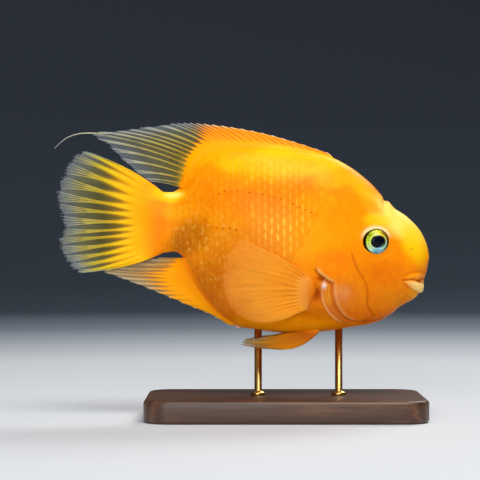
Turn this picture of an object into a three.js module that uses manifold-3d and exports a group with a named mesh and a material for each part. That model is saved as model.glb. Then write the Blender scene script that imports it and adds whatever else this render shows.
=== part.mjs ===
// A blood parrot cichlid about 20 cm long, as a still, life-size display model on a plain stand.
// Millimetres. +X points to the snout, +Z up, and the fish's right side faces -Y.
// The origin is the centre of the underside of the stand's base.

import * as THREE from 'three';
import { mergeVertices } from 'three/addons/utils/BufferGeometryUtils.js';
import Module from 'manifold-3d';

const wasm = await Module();
wasm.setup();

// Height of the fish's own zero level above the table: every outline below is measured from it
const FISH_HEIGHT = 100;

// Gap kept between pieces that touch
const GAP = 0.3;

// Outlines in the middle plane, as [x, z], from the snout to the root of the tail fin.
// The three lines run side by side: points of the same number lie on one ring of the body.
const BACK_LINE = [
  [78, -13.5], [76, -5.5], [72, 2], [65.5, 8.5], [59.5, 12.5], [56, 16], [53.5, 17], [51, 21],
  [46, 26.5], [36, 34.5], [24.5, 40.5], [11, 43.5], [-2.5, 45.5], [-16, 46.5], [-28.5, 46.5],
  [-38.5, 45], [-45.5, 42], [-50, 37], [-53.5, 30.5], [-56, 25], [-59.5, 22], [-63, 21.5], [-68, 22],
];
const FLANK_LINE = [
  [78, -13.5], [75.5, -13.5], [71.5, -13], [65, -12.5], [59, -12], [56, -12], [53.5, -12], [51, -12],
  [45, -12], [35, -12.5], [24, -11.5], [11, -10.5], [-2.5, -8.5], [-15.5, -7], [-27.5, -4.5],
  [-37.5, -1.5], [-44.5, 0.5], [-49, 2], [-53, 4], [-56, 5], [-59.5, 5.5], [-63, 5.5], [-68, 5.5],
];
const BELLY_LINE = [
  [78, -13.5], [76.3, -19.5], [72.6, -27.5], [69.5, -35.5], [62.5, -40], [59.5, -43], [55.5, -45.5],
  [52, -47.5], [46, -49.5], [35, -51.5], [23, -53.5], [11, -54.5], [-2.5, -54.5], [-14.5, -53],
  [-25.5, -51], [-35, -44.5], [-42, -36.5], [-47.5, -28], [-52, -20], [-55.5, -13.5], [-59, -11],
  [-63, -11], [-68, -11.5],
];

// Half the body's width at each ring: the first is what the snout would have if it weren't rounded
const HALF_WIDTHS = [
  3.6, 6.6, 9.9, 12.7, 14.4, 15.1, 15.6, 16.1, 17.6, 20.5, 23, 24.2, 23.6, 21.4, 17.8, 13.8, 10.6,
  8.6, 7, 5.9, 4.9, 4, 3,
];

// How round each ring is above and below its widest level: under 1 is fuller than an ellipse
const HEAD_TOP_FULLNESS = 0.88;
const TAIL_TOP_FULLNESS = 1.2;
const BELLY_FULLNESS = 0.84;
const RINGS = 46;
const RING_SIDES = 32;

// Where the body is parted into head, trunk and tail stalk, as [x, z]
const HEAD_CUT = [
  [57, 25], [53.5, 17], [43, 11], [33.5, 2], [27, -8], [22, -18], [25.5, -24], [27, -32.5],
  [29.5, -39], [34, -45], [38, -58],
];
const TAIL_CUT = [[-57, 40], [-57, -30]];

// The gill cover, as three runs of [x, z]: its hinge groove on the cheek, the free edge of
// its lower lobe up to the notch, and the free edge of its upper flap
const GILL_HINGE = [
  [26, -6.2], [31, -5.2], [35.5, -8.5], [36.5, -15], [39, -21.5], [43, -32], [44.5, -38],
  [46.5, -42], [47, -46],
];
const GILL_LOBE = [[47, -46], [39.5, -47.6], [32, -45.3], [27.3, -39.5], [25, -32.5], [24.6, -25.5]];
const GILL_FLAP = [[24.6, -25.5], [21, -22], [16.5, -19.5], [18.2, -14], [22, -9], [26, -6.2]];
const GILL_COVER_PROUD = 0.8;
const GILL_COVER_DEPTH = 1.5;
const GILL_COVER_INNER_Y = 4;

// The gill membrane that shows behind the cover: the line of its rim, and its folds as
// [distance forward of the rim, radius]
const GILL_RIM = [
  [21.5, -24.5], [19.6, -28], [19.2, -33], [20.3, -38], [22.8, -42.5], [27, -46.5], [31, -49],
];
const GILL_FOLDS = [[0, 0.95], [2.1, 0.6]];

// The eye: a flattened ball in a socket with a raised rim
const EYE_CENTRE = [49.2, -5.2];
const EYE_RADIUS = 7.6;
const EYE_HALF_DEPTH = 4.8;
const EYE_SUNK = 2.1;
const EYE_TURN_FORWARD = 0.25;
const EYE_SIDES = 18;
const EYE_RIM_RADIUS = 7.3;
const EYE_RIM_THICKNESS = 1;
const EYE_RIM_SUNK = 0.2;

// The mouth: two thick lips round a shallow cut, and one nostril on each side.
// Each lip runs through these places, as [x, y, z], from its front to one corner of the mouth.
const UPPER_LIP = [[74, 0, -23.6], [72.2, 5, -23.7], [67.9, 9.2, -24.3], [63.6, 11.6, -25.1]];
const LOWER_LIP = [[72.3, 0, -29.3], [70.3, 5, -29], [66.6, 8.9, -28], [63.2, 11.3, -27]];
const MOUTH_LINE = [[75.4, 0, -25.9], [73.4, 5.6, -25.9], [68.8, 10.2, -25.9], [63, 12.4, -26.2]];
const UPPER_LIP_RADIUS = 2.2;
const LOWER_LIP_RADIUS = 3.3;
const MOUTH_LINE_RADIUS = 0.75;
const NOSTRIL_CENTRE = [67.5, -9.5];
const NOSTRIL_RADIUS = 0.9;

// Fins: the roots and tips of matching rays, as [x, z], which all rays between them follow
const DORSAL_ROOTS = [
  [28.5, 39], [16, 42.3], [2, 44.9], [-12, 46.3], [-25, 46.5], [-32, 46], [-38, 45], [-43, 43],
  [-46.6, 40.6], [-49.4, 37.6], [-51.3, 34.4], [-53.1, 31], [-54.6, 27.8], [-56.5, 24.2],
];
const DORSAL_TIPS = [
  [26.5, 41.5], [8, 47.6], [-10, 52.8], [-28, 56.4], [-44, 58.4], [-56, 58.9], [-67, 57.8],
  [-82, 55.8], [-93, 54.5], [-105, 53.3], [-96.5, 47.5], [-88.5, 39.5], [-78.5, 31], [-73, 27.3],
];
const DORSAL_RAYS = 27;
// Half the thickness of the dorsal fin's root at its front end, and from its first quarter on
const DORSAL_HALF_FRONT = 0.7;
const DORSAL_HALF = 1.9;
// The longest dorsal rays run on past the fin as one thread
const FILAMENT = [[-94, 53.2], [-104, 53.6], [-112, 53.2], [-119, 50.6], [-125, 45.4]];
const FILAMENT_RADIUS = 0.62;

const CAUDAL_ROOTS = [[-67.6, 21.4], [-67.6, 13.5], [-67.6, 5.3], [-67.6, -3], [-67.6, -11]];
const CAUDAL_TIPS = [
  [-103, 41.5], [-108.5, 43.8], [-115, 40.5], [-120.5, 31], [-124, 20], [-122, 11], [-120, 1.5],
  [-122.5, -4.5], [-120.5, -12], [-116.5, -18], [-111.5, -22], [-101, -20.6],
];
const CAUDAL_RAYS = 18;
const CAUDAL_HALF = 2.3;

const ANAL_ROOTS = [
  [-25, -51], [-32.5, -46], [-39, -40.5], [-44, -34], [-47, -29.5], [-49, -26], [-51, -22.5],
  [-52.5, -19.5], [-53.8, -16.5], [-55, -14],
];
const ANAL_TIPS = [
  [-29, -51], [-40, -44.4], [-52, -39.6], [-65, -34.2], [-76, -29.8], [-88, -25.2],
  [-99.5, -20.8], [-92, -19.4], [-80, -16.6], [-68, -13.8],
];
const ANAL_RAYS = 17;
const ANAL_HALF = 1.7;
// The anal fin's rear rays pass the tail fin on the far side
const ANAL_LEAN = 2.4;

const PECTORAL_ROOTS = [[15.5, -26.5], [15, -34], [11.5, -41]];
const PECTORAL_TIPS = [
  [-26, -3], [-30.5, -9], [-34, -15], [-35, -22.5], [-34.5, -30], [-32, -37.5], [-28, -43],
  [-22, -46.2], [-15, -48.3], [-7, -48], [-0.5, -46], [4, -43.5],
];
const PECTORAL_RAYS = 15;
const PECTORAL_HALF = 1.6;
const PECTORAL_ROOT_SUNK = 1.2;
const PECTORAL_SPREAD_TOP = 5;
const PECTORAL_SPREAD_BOTTOM = 3;

const PELVIC_ROOTS = [[19, -52.5], [16, -53], [12, -53.2]];
const PELVIC_TIPS = [[-12, -61.2], [-24, -60], [-21, -58.2], [-17, -57.2], [-13.5, -56.6], [-8, -56.2]];
const PELVIC_RAYS = 6;
const PELVIC_HALF = 1;
const PELVIC_ROOT_Y = 6;
const PELVIC_SPREAD_OUTER = 7;
const PELVIC_SPREAD_INNER = 2;

// Sideways bend of the tail, growing with the square of the distance behind this station
const BEND_START_X = -25;
const BEND_END_X = -125;
const BEND_AT_TIP = 5;

// The stand: a bevelled base with two rods under the throat and the belly
const BASE_LENGTH = 150;
const BASE_WIDTH = 84;
const BASE_THICKNESS = 12;
const BASE_CORNER = 14;
const BASE_BEVEL = 2;
const ROD_RADIUS = 2;
const ROD_FRONT_X = 29;
const ROD_REAR_X = -14.5;
const ROD_TOP = -45;
const COLLAR_RADIUS = 4;
const COLLAR_HEIGHT = 2.5;

// Curves through the outlines

const curveThrough = (points) => new THREE.SplineCurve(points.map(([x, z]) => new THREE.Vector2(x, z)));
const backCurve = curveThrough(BACK_LINE);
const flankCurve = curveThrough(FLANK_LINE);
const bellyCurve = curveThrough(BELLY_LINE);
const widthCurve = curveThrough(HALF_WIDTHS.map((width, ring) => [ring, width]));

// Points along a smooth run, without its last one, so that runs can follow each other
function smoothRun(points, steps) {
  const places = curveThrough(points).getPoints(steps);
  return places.slice(0, -1).map((place) => [place.x, place.y]);
}

const gillCoverRuns = [[GILL_HINGE, 16], [GILL_LOBE, 10], [GILL_FLAP, 8]];
const gillCoverOutline = gillCoverRuns.flatMap(([points, steps]) => smoothRun(points, steps));

// Geometry and solids

// A geometry with only positions, and each corner stored once
function merged(geometry) {
  const bare = geometry.clone();
  bare.deleteAttribute('normal');
  bare.deleteAttribute('uv');
  return mergeVertices(bare, 1e-4);
}

function toSolid(geometry) {
  const closed = merged(geometry);
  return new wasm.Manifold(new wasm.Mesh({
    numProp: 3,
    vertProperties: new Float32Array(closed.attributes.position.array),
    triVerts: new Uint32Array(closed.index.array),
  }));
}

function toGeometry(solid) {
  const mesh = solid.getMesh();
  const geometry = new THREE.BufferGeometry();
  geometry.setAttribute('position', new THREE.BufferAttribute(new Float32Array(mesh.vertProperties), 3));
  geometry.setIndex(new THREE.BufferAttribute(new Uint32Array(mesh.triVerts), 1));
  return geometry;
}

// Turns the faces of a closed shape round where they point inwards
function facingOut(geometry) {
  const index = geometry.index.array;
  const [a, b, c] = [new THREE.Vector3(), new THREE.Vector3(), new THREE.Vector3()];
  const places = geometry.attributes.position;
  let filled = 0;
  for (let i = 0; i < index.length; i += 3) {
    a.fromBufferAttribute(places, index[i]);
    b.fromBufferAttribute(places, index[i + 1]);
    c.fromBufferAttribute(places, index[i + 2]);
    filled += a.dot(b.cross(c));
  }
  if (filled < 0) geometry.setIndex([...index].reverse());
  return geometry;
}

const volume = (solid) => solid.volume();
const largest = (solid) => solid.decompose().reduce((a, b) => (volume(b) > volume(a) ? b : a));

// Calls change(point) for every corner and stores what it leaves in the point
function reshape(geometry, change) {
  const places = geometry.attributes.position;
  const point = new THREE.Vector3();
  for (let i = 0; i < places.count; i += 1) {
    point.fromBufferAttribute(places, i);
    change(point, i);
    places.setXYZ(i, point.x, point.y, point.z);
  }
  return geometry;
}

// The same shape grown outwards by a distance along its own normals
function grown(geometry, distance) {
  const shape = merged(geometry);
  shape.computeVertexNormals();
  const normals = shape.attributes.normal;
  const normal = new THREE.Vector3();
  return reshape(shape, (point, i) => {
    normal.fromBufferAttribute(normals, i);
    point.addScaledVector(normal, distance);
  });
}

// A solid that fills an [x, z] outline from one y to another
function prism(outline, fromY, toY) {
  const shape = new THREE.Shape(outline.map(([x, z]) => new THREE.Vector2(x, z)));
  const geometry = new THREE.ExtrudeGeometry(shape, { depth: toY - fromY, bevelEnabled: false });
  geometry.rotateX(Math.PI / 2);
  geometry.translate(0, toY, 0);
  return toSolid(geometry);
}

// The points of an outline moved sideways by a distance, to the left of the way it runs
function shifted(points, distance) {
  return points.map(([x, z], i) => {
    const [fromX, fromZ] = points[Math.max(i - 1, 0)];
    const [toX, toZ] = points[Math.min(i + 1, points.length - 1)];
    const length = Math.hypot(toX - fromX, toZ - fromZ);
    return [x - ((toZ - fromZ) / length) * distance, z + ((toX - fromX) / length) * distance];
  });
}

// The points of a closed outline moved outwards by a distance, where it runs clockwise
function shiftedRing(points, distance) {
  const wrapped = [points.at(-1), ...points, points[0]];
  return shifted(wrapped, distance).slice(1, -1);
}

// A thin curved blade across the whole body, as thick as the gap that it leaves
function blade(points, reach) {
  const line = curveThrough(points).getPoints(points.length * 3).map((p) => [p.x, p.y]);
  const outline = [...shifted(line, GAP / 2), ...shifted(line, -GAP / 2).reverse()];
  return prism(outline, -reach, reach);
}

// The body's skin: the point at a share of the length from the snout, at an angle round the ring
function bodyPoint(along, angle) {
  const rise = Math.sin(angle);
  const crest = (rise > 0 ? backCurve : bellyCurve).getPoint(along);
  const middle = flankCurve.getPoint(along);
  const topFullness = THREE.MathUtils.lerp(HEAD_TOP_FULLNESS, TAIL_TOP_FULLNESS, along);
  const fullness = rise > 0 ? topFullness : BELLY_FULLNESS;
  const side = Math.cos(angle);
  const behindSnout = Math.min(along * (HALF_WIDTHS.length - 1), 1);
  const rounding = Math.sqrt(1 - (1 - behindSnout) ** 2);
  const halfWidth = widthCurve.getPoint(along).y * rounding;
  return new THREE.Vector3(
    THREE.MathUtils.lerp(middle.x, crest.x, Math.abs(rise)),
    Math.sign(side) * Math.abs(side) ** fullness * halfWidth,
    THREE.MathUtils.lerp(middle.y, crest.y, Math.abs(rise)),
  );
}

// The whole body as one closed skin: a ball whose rings are moved to the body's own
function bodyGeometry() {
  const ball = new THREE.SphereGeometry(1, RING_SIDES, RINGS);
  const { uv } = ball.attributes;
  return merged(reshape(ball, (point, i) => {
    const ring = Math.round((1 - uv.getY(i)) * RINGS);
    const angle = Math.round(uv.getX(i) * RING_SIDES) * ((2 * Math.PI) / RING_SIDES);
    const isEnd = ring === RINGS;
    const end = flankCurve.getPoint(1);
    if (isEnd) point.set(end.x, 0, end.y);
    else point.copy(bodyPoint(ring / (RINGS - 1), angle));
  }));
}

const bodyShape = bodyGeometry();
const bodyMesh = new THREE.Mesh(bodyShape, new THREE.MeshStandardMaterial({ side: THREE.DoubleSide }));
const body = toSolid(bodyShape);
const bodyWithGap = toSolid(grown(bodyShape, GAP));

// How far the skin is from the middle plane at a place seen from the side
function skinDistance(x, z) {
  const ray = new THREE.Raycaster(new THREE.Vector3(x, BASE_WIDTH, z), new THREE.Vector3(0, -1, 0));
  return ray.intersectObject(bodyMesh)[0].point.y;
}

// Head, trunk and tail stalk

const sides = [{ name: 'right', sign: -1 }, { name: 'left', sign: 1 }];

function gillCoverPrism(sign, growth) {
  const outline = shiftedRing(gillCoverOutline, growth);
  const reach = [sign * (GILL_COVER_INNER_Y - growth), sign * BASE_WIDTH].sort((a, b) => a - b);
  return prism(outline, ...reach);
}

const coverCore = toSolid(grown(bodyShape, -GILL_COVER_DEPTH));
const coverBed = toSolid(grown(bodyShape, GAP - GILL_COVER_DEPTH));
const coverSkin = toSolid(grown(bodyShape, GILL_COVER_PROUD));

const gillCover = (sign) => largest(gillCoverPrism(sign, 0).intersect(coverSkin).subtract(coverBed));

function eyeball(sign, growth) {
  const [x, z] = EYE_CENTRE;
  const ball = new THREE.SphereGeometry(1, EYE_SIDES, EYE_SIDES / 2 + 1);
  ball.rotateX(Math.PI / 2);
  ball.scale(EYE_RADIUS + growth, EYE_HALF_DEPTH + growth, EYE_RADIUS + growth);
  ball.rotateZ(-sign * EYE_TURN_FORWARD);
  ball.translate(x, sign * (skinDistance(x, z) - EYE_SUNK), z);
  return ball;
}

function eyeRim(sign) {
  const [x, z] = EYE_CENTRE;
  const ring = new THREE.TorusGeometry(EYE_RIM_RADIUS, EYE_RIM_THICKNESS, 6, 20);
  ring.rotateX(Math.PI / 2);
  ring.rotateZ(-sign * EYE_TURN_FORWARD);
  ring.translate(x, sign * (skinDistance(x, z) - EYE_RIM_SUNK), z);
  return toSolid(ring);
}

// A closed tube along [x, y, z] places that thins to nothing at both ends
function taperedTube(places, radius, { sides: around, steps, fullness }) {
  const path = new THREE.CatmullRomCurve3(places.map((p) => new THREE.Vector3(...p)));
  const ball = new THREE.SphereGeometry(1, around, steps);
  const { uv } = ball.attributes;
  const upwards = new THREE.Vector3(0, 0, 1);
  return toSolid(facingOut(merged(reshape(ball, (point, i) => {
    const along = 1 - uv.getY(i);
    const angle = uv.getX(i) * 2 * Math.PI;
    const thickness = radius * Math.max(Math.sin(along * Math.PI), 0) ** fullness;
    const tangent = path.getTangent(along);
    const outwards = tangent.clone().cross(upwards).normalize();
    point.copy(path.getPoint(along));
    point.addScaledVector(outwards, Math.cos(angle) * thickness);
    point.addScaledVector(outwards.cross(tangent), Math.sin(angle) * thickness);
  }))));
}

// A lip from one corner of the mouth round the front to the other
function lip(places, radius) {
  const otherSide = places.slice(1).map(([x, y, z]) => [x, -y, z]).reverse();
  return taperedTube([...otherSide, ...places], radius, { sides: 10, steps: 14, fullness: 0.6 });
}

// A fold of the gill membrane, lying on the skin behind the cover
function gillFold(sign, forward, radius) {
  const places = GILL_RIM.map(([x, z]) => [x + forward, sign * skinDistance(x + forward, z), z]);
  return taperedTube(places, radius, { sides: 6, steps: 12, fullness: 0.4 });
}

function nostril(sign) {
  const [x, z] = NOSTRIL_CENTRE;
  const pit = new THREE.SphereGeometry(NOSTRIL_RADIUS, 8, 6);
  pit.translate(x, sign * skinDistance(x, z), z);
  return toSolid(pit);
}

function partedBody() {
  let whole = body;
  for (const { sign } of sides) {
    for (const [forward, radius] of GILL_FOLDS) whole = whole.add(gillFold(sign, forward, radius));
    whole = whole.subtract(gillCoverPrism(sign, GAP).subtract(coverCore)).add(eyeRim(sign));
  }
  whole = whole.add(lip(UPPER_LIP, UPPER_LIP_RADIUS)).add(lip(LOWER_LIP, LOWER_LIP_RADIUS));
  whole = whole.subtract(lip(MOUTH_LINE, MOUTH_LINE_RADIUS));
  for (const { sign } of sides) {
    whole = whole.subtract(toSolid(eyeball(sign, GAP))).subtract(nostril(sign));
  }
  for (const cut of [HEAD_CUT, TAIL_CUT]) whole = whole.subtract(blade(cut, BASE_WIDTH));
  return whole.decompose().sort((a, b) => volume(b) - volume(a)).slice(0, 3);
}

// Fins

// How fast a fin thins towards its edge, how much its ridges fade on the way there, and how far
// the membrane reaches between two rays, as a share of their length
const THINNING = 0.7;
const RIDGE_FADE = 0.6;
const MEMBRANE_SHARE = 0.98;
const FIN_EDGE_HALF = 0.28;
const RAY_RIDGE = 0.3;
const FIN_ROWS = 6;

// A sheet of rays and the membrane between them, each ray a ridge in both faces.
// place(ray, share) gives the middle of the sheet at a share of the way from root to tip.
function finSheet({ rays, place, across, rootHalf }) {
  const columns = 2 * (rays - 1);
  const rows = FIN_ROWS;
  const plane = new THREE.PlaneGeometry(1, 1, columns, rows);
  const rowLength = columns + 1;
  const count = plane.attributes.position.count;
  const corners = [];
  for (const face of [1, -1]) {
    for (let i = 0; i < count; i += 1) {
      const column = i % rowLength;
      const share = Math.floor(i / rowLength) / rows;
      const isRay = column % 2 === 0;
      const ray = column / columns;
      const half = THREE.MathUtils.lerp(rootHalf(ray), FIN_EDGE_HALF, share ** THINNING);
      const ridge = isRay ? RAY_RIDGE * (1 - RIDGE_FADE * share) : 0;
      const point = place(ray, share, isRay).addScaledVector(across, face * (half + ridge));
      corners.push(point.x, point.y, point.z);
    }
  }
  const front = [...plane.index.array];
  const index = [...front];
  for (let i = 0; i < front.length; i += 3) {
    index.push(front[i] + count, front[i + 2] + count, front[i + 1] + count);
  }
  const border = [];
  for (let c = 0; c < columns; c += 1) border.push(c);
  for (let r = 0; r < rows; r += 1) border.push(r * rowLength + columns);
  for (let c = columns; c > 0; c -= 1) border.push(rows * rowLength + c);
  for (let r = rows; r > 0; r -= 1) border.push(r * rowLength);
  border.forEach((from, i) => {
    const to = border[(i + 1) % border.length];
    index.push(from, to, to + count, from, to + count, from + count);
  });
  const geometry = new THREE.BufferGeometry();
  geometry.setAttribute('position', new THREE.BufferAttribute(new Float32Array(corners), 3));
  geometry.setIndex(index);
  return facingOut(geometry);
}

// A place on a curved ray from root to tip, bowed to one side by a share of its length
function onRay(root, tip, share, arch) {
  const bow = arch * 4 * share * (1 - share);
  const [alongX, alongZ] = [tip.x - root.x, tip.y - root.y];
  return new THREE.Vector2(
    root.x + alongX * share + alongZ * bow,
    root.y + alongZ * share - alongX * bow,
  );
}

// place() for a fin whose rays follow matching lists of roots and tips
function rayPlaces(roots, tips, arch, sideways) {
  const rootCurve = curveThrough(roots);
  const tipCurve = curveThrough(tips);
  return (ray, share, isRay) => {
    const reach = isRay ? share : share * MEMBRANE_SHARE;
    const flat = onRay(rootCurve.getPoint(ray), tipCurve.getPoint(ray), reach, arch(ray));
    return new THREE.Vector3(flat.x, sideways(ray, share), flat.y);
  };
}

const acrossBody = new THREE.Vector3(0, 1, 0);

function dorsalFin() {
  const sheet = finSheet({
    rays: DORSAL_RAYS,
    place: rayPlaces(DORSAL_ROOTS, DORSAL_TIPS, () => 0.04, () => 0),
    across: acrossBody,
    rootHalf: (ray) => THREE.MathUtils.lerp(DORSAL_HALF_FRONT, DORSAL_HALF, Math.min(ray * 4, 1)),
  });
  const places = FILAMENT.map(([x, z]) => [x, 0, z]);
  const thread = taperedTube(places, FILAMENT_RADIUS, { sides: 6, steps: 10, fullness: 0.5 });
  return toSolid(sheet).add(thread);
}

function caudalFin() {
  return toSolid(finSheet({
    rays: CAUDAL_RAYS,
    place: rayPlaces(CAUDAL_ROOTS, CAUDAL_TIPS, (ray) => 0.05 * (1 - 2 * ray), () => 0),
    across: acrossBody,
    rootHalf: () => CAUDAL_HALF,
  }));
}

function analFin() {
  return toSolid(finSheet({
    rays: ANAL_RAYS,
    place: rayPlaces(ANAL_ROOTS, ANAL_TIPS, () => -0.02, (ray, share) => ANAL_LEAN * ray * share),
    across: acrossBody,
    rootHalf: () => ANAL_HALF,
  }));
}

function pectoralFin(sign) {
  const rootCurve = curveThrough(PECTORAL_ROOTS);
  const rootY = (ray) => {
    const root = rootCurve.getPoint(ray);
    return skinDistance(root.x, root.y) - PECTORAL_ROOT_SUNK;
  };
  const spread = (ray) => THREE.MathUtils.lerp(PECTORAL_SPREAD_TOP, PECTORAL_SPREAD_BOTTOM, ray);
  return toSolid(finSheet({
    rays: PECTORAL_RAYS,
    place: rayPlaces(PECTORAL_ROOTS, PECTORAL_TIPS, (ray) => 0.08 * (0.5 - ray),
      (ray, share) => sign * (rootY(ray) + spread(ray) * Math.sqrt(share))),
    across: acrossBody,
    rootHalf: () => PECTORAL_HALF,
  }));
}

function pelvicFin(sign) {
  const spread = (ray) => THREE.MathUtils.lerp(PELVIC_SPREAD_OUTER, PELVIC_SPREAD_INNER, ray);
  return toSolid(finSheet({
    rays: PELVIC_RAYS,
    place: rayPlaces(PELVIC_ROOTS, PELVIC_TIPS, (ray) => -0.16 * (1 - ray) ** 2,
      (ray, share) => sign * (PELVIC_ROOT_Y + spread(ray) * share)),
    across: new THREE.Vector3(0, 0.9, 0.43 * sign),
    rootHalf: () => PELVIC_HALF,
  }));
}

const cutToBody = (solid) => largest(solid.subtract(bodyWithGap));

// Stand

function standBase() {
  const corner = BASE_CORNER - BASE_BEVEL;
  const outline = new THREE.Shape();
  const quarterSteps = 7;
  const points = [];
  for (let quarter = 0; quarter < 4; quarter += 1) {
    const toX = quarter === 0 || quarter === 3 ? 1 : -1;
    const toY = quarter < 2 ? 1 : -1;
    for (let step = 0; step <= quarterSteps; step += 1) {
      const angle = (quarter + step / quarterSteps) * (Math.PI / 2);
      points.push(new THREE.Vector2(
        toX * (BASE_LENGTH / 2 - BASE_CORNER) + corner * Math.cos(angle),
        toY * (BASE_WIDTH / 2 - BASE_CORNER) + corner * Math.sin(angle),
      ));
    }
  }
  outline.setFromPoints(points);
  const geometry = new THREE.ExtrudeGeometry(outline, {
    depth: BASE_THICKNESS - 2 * BASE_BEVEL,
    bevelThickness: BASE_BEVEL,
    bevelSize: BASE_BEVEL,
    bevelSegments: 2,
  });
  geometry.translate(0, 0, BASE_BEVEL - FISH_HEIGHT);
  return toSolid(geometry);
}

// A rod with a collar on the base, cut off where it meets the fish
function standRod(x) {
  const foot = BASE_THICKNESS + GAP - FISH_HEIGHT;
  const profile = [
    [0, foot], [COLLAR_RADIUS, foot], [COLLAR_RADIUS, foot + COLLAR_HEIGHT * 0.6],
    [ROD_RADIUS, foot + COLLAR_HEIGHT], [ROD_RADIUS, ROD_TOP], [0, ROD_TOP],
  ].map(([radius, height]) => new THREE.Vector2(radius, height));
  const geometry = new THREE.LatheGeometry(profile, 20);
  geometry.rotateX(Math.PI / 2);
  geometry.translate(x, 0, 0);
  return cutToBody(toSolid(geometry));
}

// The finished group

// Bends the tail sideways
function bent(point) {
  const behind = Math.max(BEND_START_X - point.x, 0) / (BEND_START_X - BEND_END_X);
  point.y += BEND_AT_TIP * behind ** 2;
}

const unbent = () => {};

const model = new THREE.Group();

function addPiece(name, solid, material, bend = bent) {
  const mesh = new THREE.Mesh(reshape(toGeometry(solid), bend), material);
  mesh.name = name;
  mesh.position.z = FISH_HEIGHT;
  model.add(mesh);
}

const matt = (color, roughness = 0.5, metalness = 0) => (
  new THREE.MeshStandardMaterial({ color, roughness, metalness })
);

const TRUNK_SKIN = matt(0xf39a12);
const HEAD_SKIN = matt(0xf7a81c);
const COVER_SKIN = matt(0xf08a20);
const STALK_SKIN = matt(0xf0940c);
const YELLOW_FIN = matt(0xe9b62a);
const ORANGE_FIN = matt(0xe8963a);
const EYE = matt(0x1a2430, 0.1);
const WALNUT = matt(0x4a2d1a, 0.45);
const BRASS = matt(0xb08d4a, 0.3, 1);

const [trunk, head, tailStalk] = partedBody();
addPiece('head', head, HEAD_SKIN);
addPiece('torso', trunk, TRUNK_SKIN);
addPiece('tail_stalk', tailStalk, STALK_SKIN);
addPiece('dorsal_fin', cutToBody(dorsalFin()), YELLOW_FIN);
addPiece('caudal_fin', cutToBody(caudalFin()), YELLOW_FIN);
addPiece('anal_fin', cutToBody(analFin()), ORANGE_FIN);
for (const { name, sign } of sides) {
  addPiece(`gill_cover_${name}`, gillCover(sign), COVER_SKIN);
  addPiece(`eye_${name}`, toSolid(eyeball(sign, 0)), EYE);
  addPiece(`pectoral_fin_${name}`, cutToBody(pectoralFin(sign)), ORANGE_FIN);
  addPiece(`pelvic_fin_${name}`, cutToBody(pelvicFin(sign)), ORANGE_FIN);
}
addPiece('stand_base', standBase(), WALNUT, unbent);
addPiece('stand_rod_front', standRod(ROD_FRONT_X), BRASS, unbent);
addPiece('stand_rod_rear', standRod(ROD_REAR_X), BRASS, unbent);

export default model;
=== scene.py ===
import math

import bmesh
import bpy
import numpy as np
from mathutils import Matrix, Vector, kdtree


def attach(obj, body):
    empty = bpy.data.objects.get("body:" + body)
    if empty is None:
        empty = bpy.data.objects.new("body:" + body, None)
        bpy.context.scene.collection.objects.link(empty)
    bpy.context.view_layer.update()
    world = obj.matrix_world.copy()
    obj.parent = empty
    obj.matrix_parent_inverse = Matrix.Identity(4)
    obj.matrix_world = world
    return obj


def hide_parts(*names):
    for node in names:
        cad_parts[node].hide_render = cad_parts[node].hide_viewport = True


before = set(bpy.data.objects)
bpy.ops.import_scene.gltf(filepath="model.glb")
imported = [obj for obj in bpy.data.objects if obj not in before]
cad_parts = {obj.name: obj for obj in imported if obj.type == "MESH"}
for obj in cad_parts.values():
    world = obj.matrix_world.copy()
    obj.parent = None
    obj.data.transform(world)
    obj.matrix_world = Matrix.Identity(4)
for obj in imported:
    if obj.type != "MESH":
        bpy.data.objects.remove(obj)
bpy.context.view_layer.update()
random = np.random.default_rng(11)

MM = 0.001
FISH_HEIGHT = 100

# Outlines of the body in the middle plane, as [x, z], from the snout to the root of the tail fin

BACK_LINE = [
    [78, -13.5], [76, -5.5], [72, 2], [65.5, 8.5], [59.5, 12.5], [56, 16.4], [53.5, 18.4], [51, 21],
    [46, 26.5], [36, 34.5], [24.5, 40.5], [11, 43.5], [-2.5, 45.5], [-16, 46.5], [-28.5, 46.5],
    [-38.5, 45], [-45.5, 42], [-50, 37], [-53.5, 30.5], [-56, 25], [-59.5, 22], [-63, 21.5],
    [-68, 22],
]
FLANK_LINE = [
    [78, -13.5], [75.5, -13.5], [71.5, -13], [65, -12.5], [59, -12], [56, -12], [53.5, -12],
    [51, -12], [45, -12], [35, -12.5], [24, -11.5], [11, -10.5], [-2.5, -8.5], [-15.5, -7],
    [-27.5, -4.5], [-37.5, -1.5], [-44.5, 0.5], [-49, 2], [-53, 4], [-56, 5], [-59.5, 5.5],
    [-63, 5.5], [-68, 5.5],
]
BELLY_LINE = [
    [78, -13.5], [76.3, -19.5], [72.6, -27.5], [69.5, -35.5], [62.5, -40], [59.5, -43],
    [55.5, -45.5], [52, -47.5], [46, -49.5], [35, -51.5], [23, -53.5], [11, -54.5], [-2.5, -54.5],
    [-14.5, -53], [-25.5, -51], [-35, -44.5], [-42, -36.5], [-47.5, -28], [-52, -20],
    [-55.5, -13.5], [-59, -11], [-63, -11], [-68, -11.5],
]
HALF_WIDTHS = [
    3.6, 6.6, 9.9, 12.7, 14.4, 15.1, 15.6, 16.1, 17.6, 20.5, 23, 24.2, 23.6, 21.4, 17.8, 13.8,
    10.6, 8.6, 7, 5.9, 4.9, 4, 3,
]
HEAD_TOP_FULLNESS = 0.88
TAIL_TOP_FULLNESS = 1.2
BELLY_FULLNESS = 0.84

# The tail bends sideways by the square of the distance behind a station

BEND_START_X = -25
BEND_LENGTH = 100
BEND_AT_TIP = 5

# Features of the head, as [x, z] seen from the side

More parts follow.
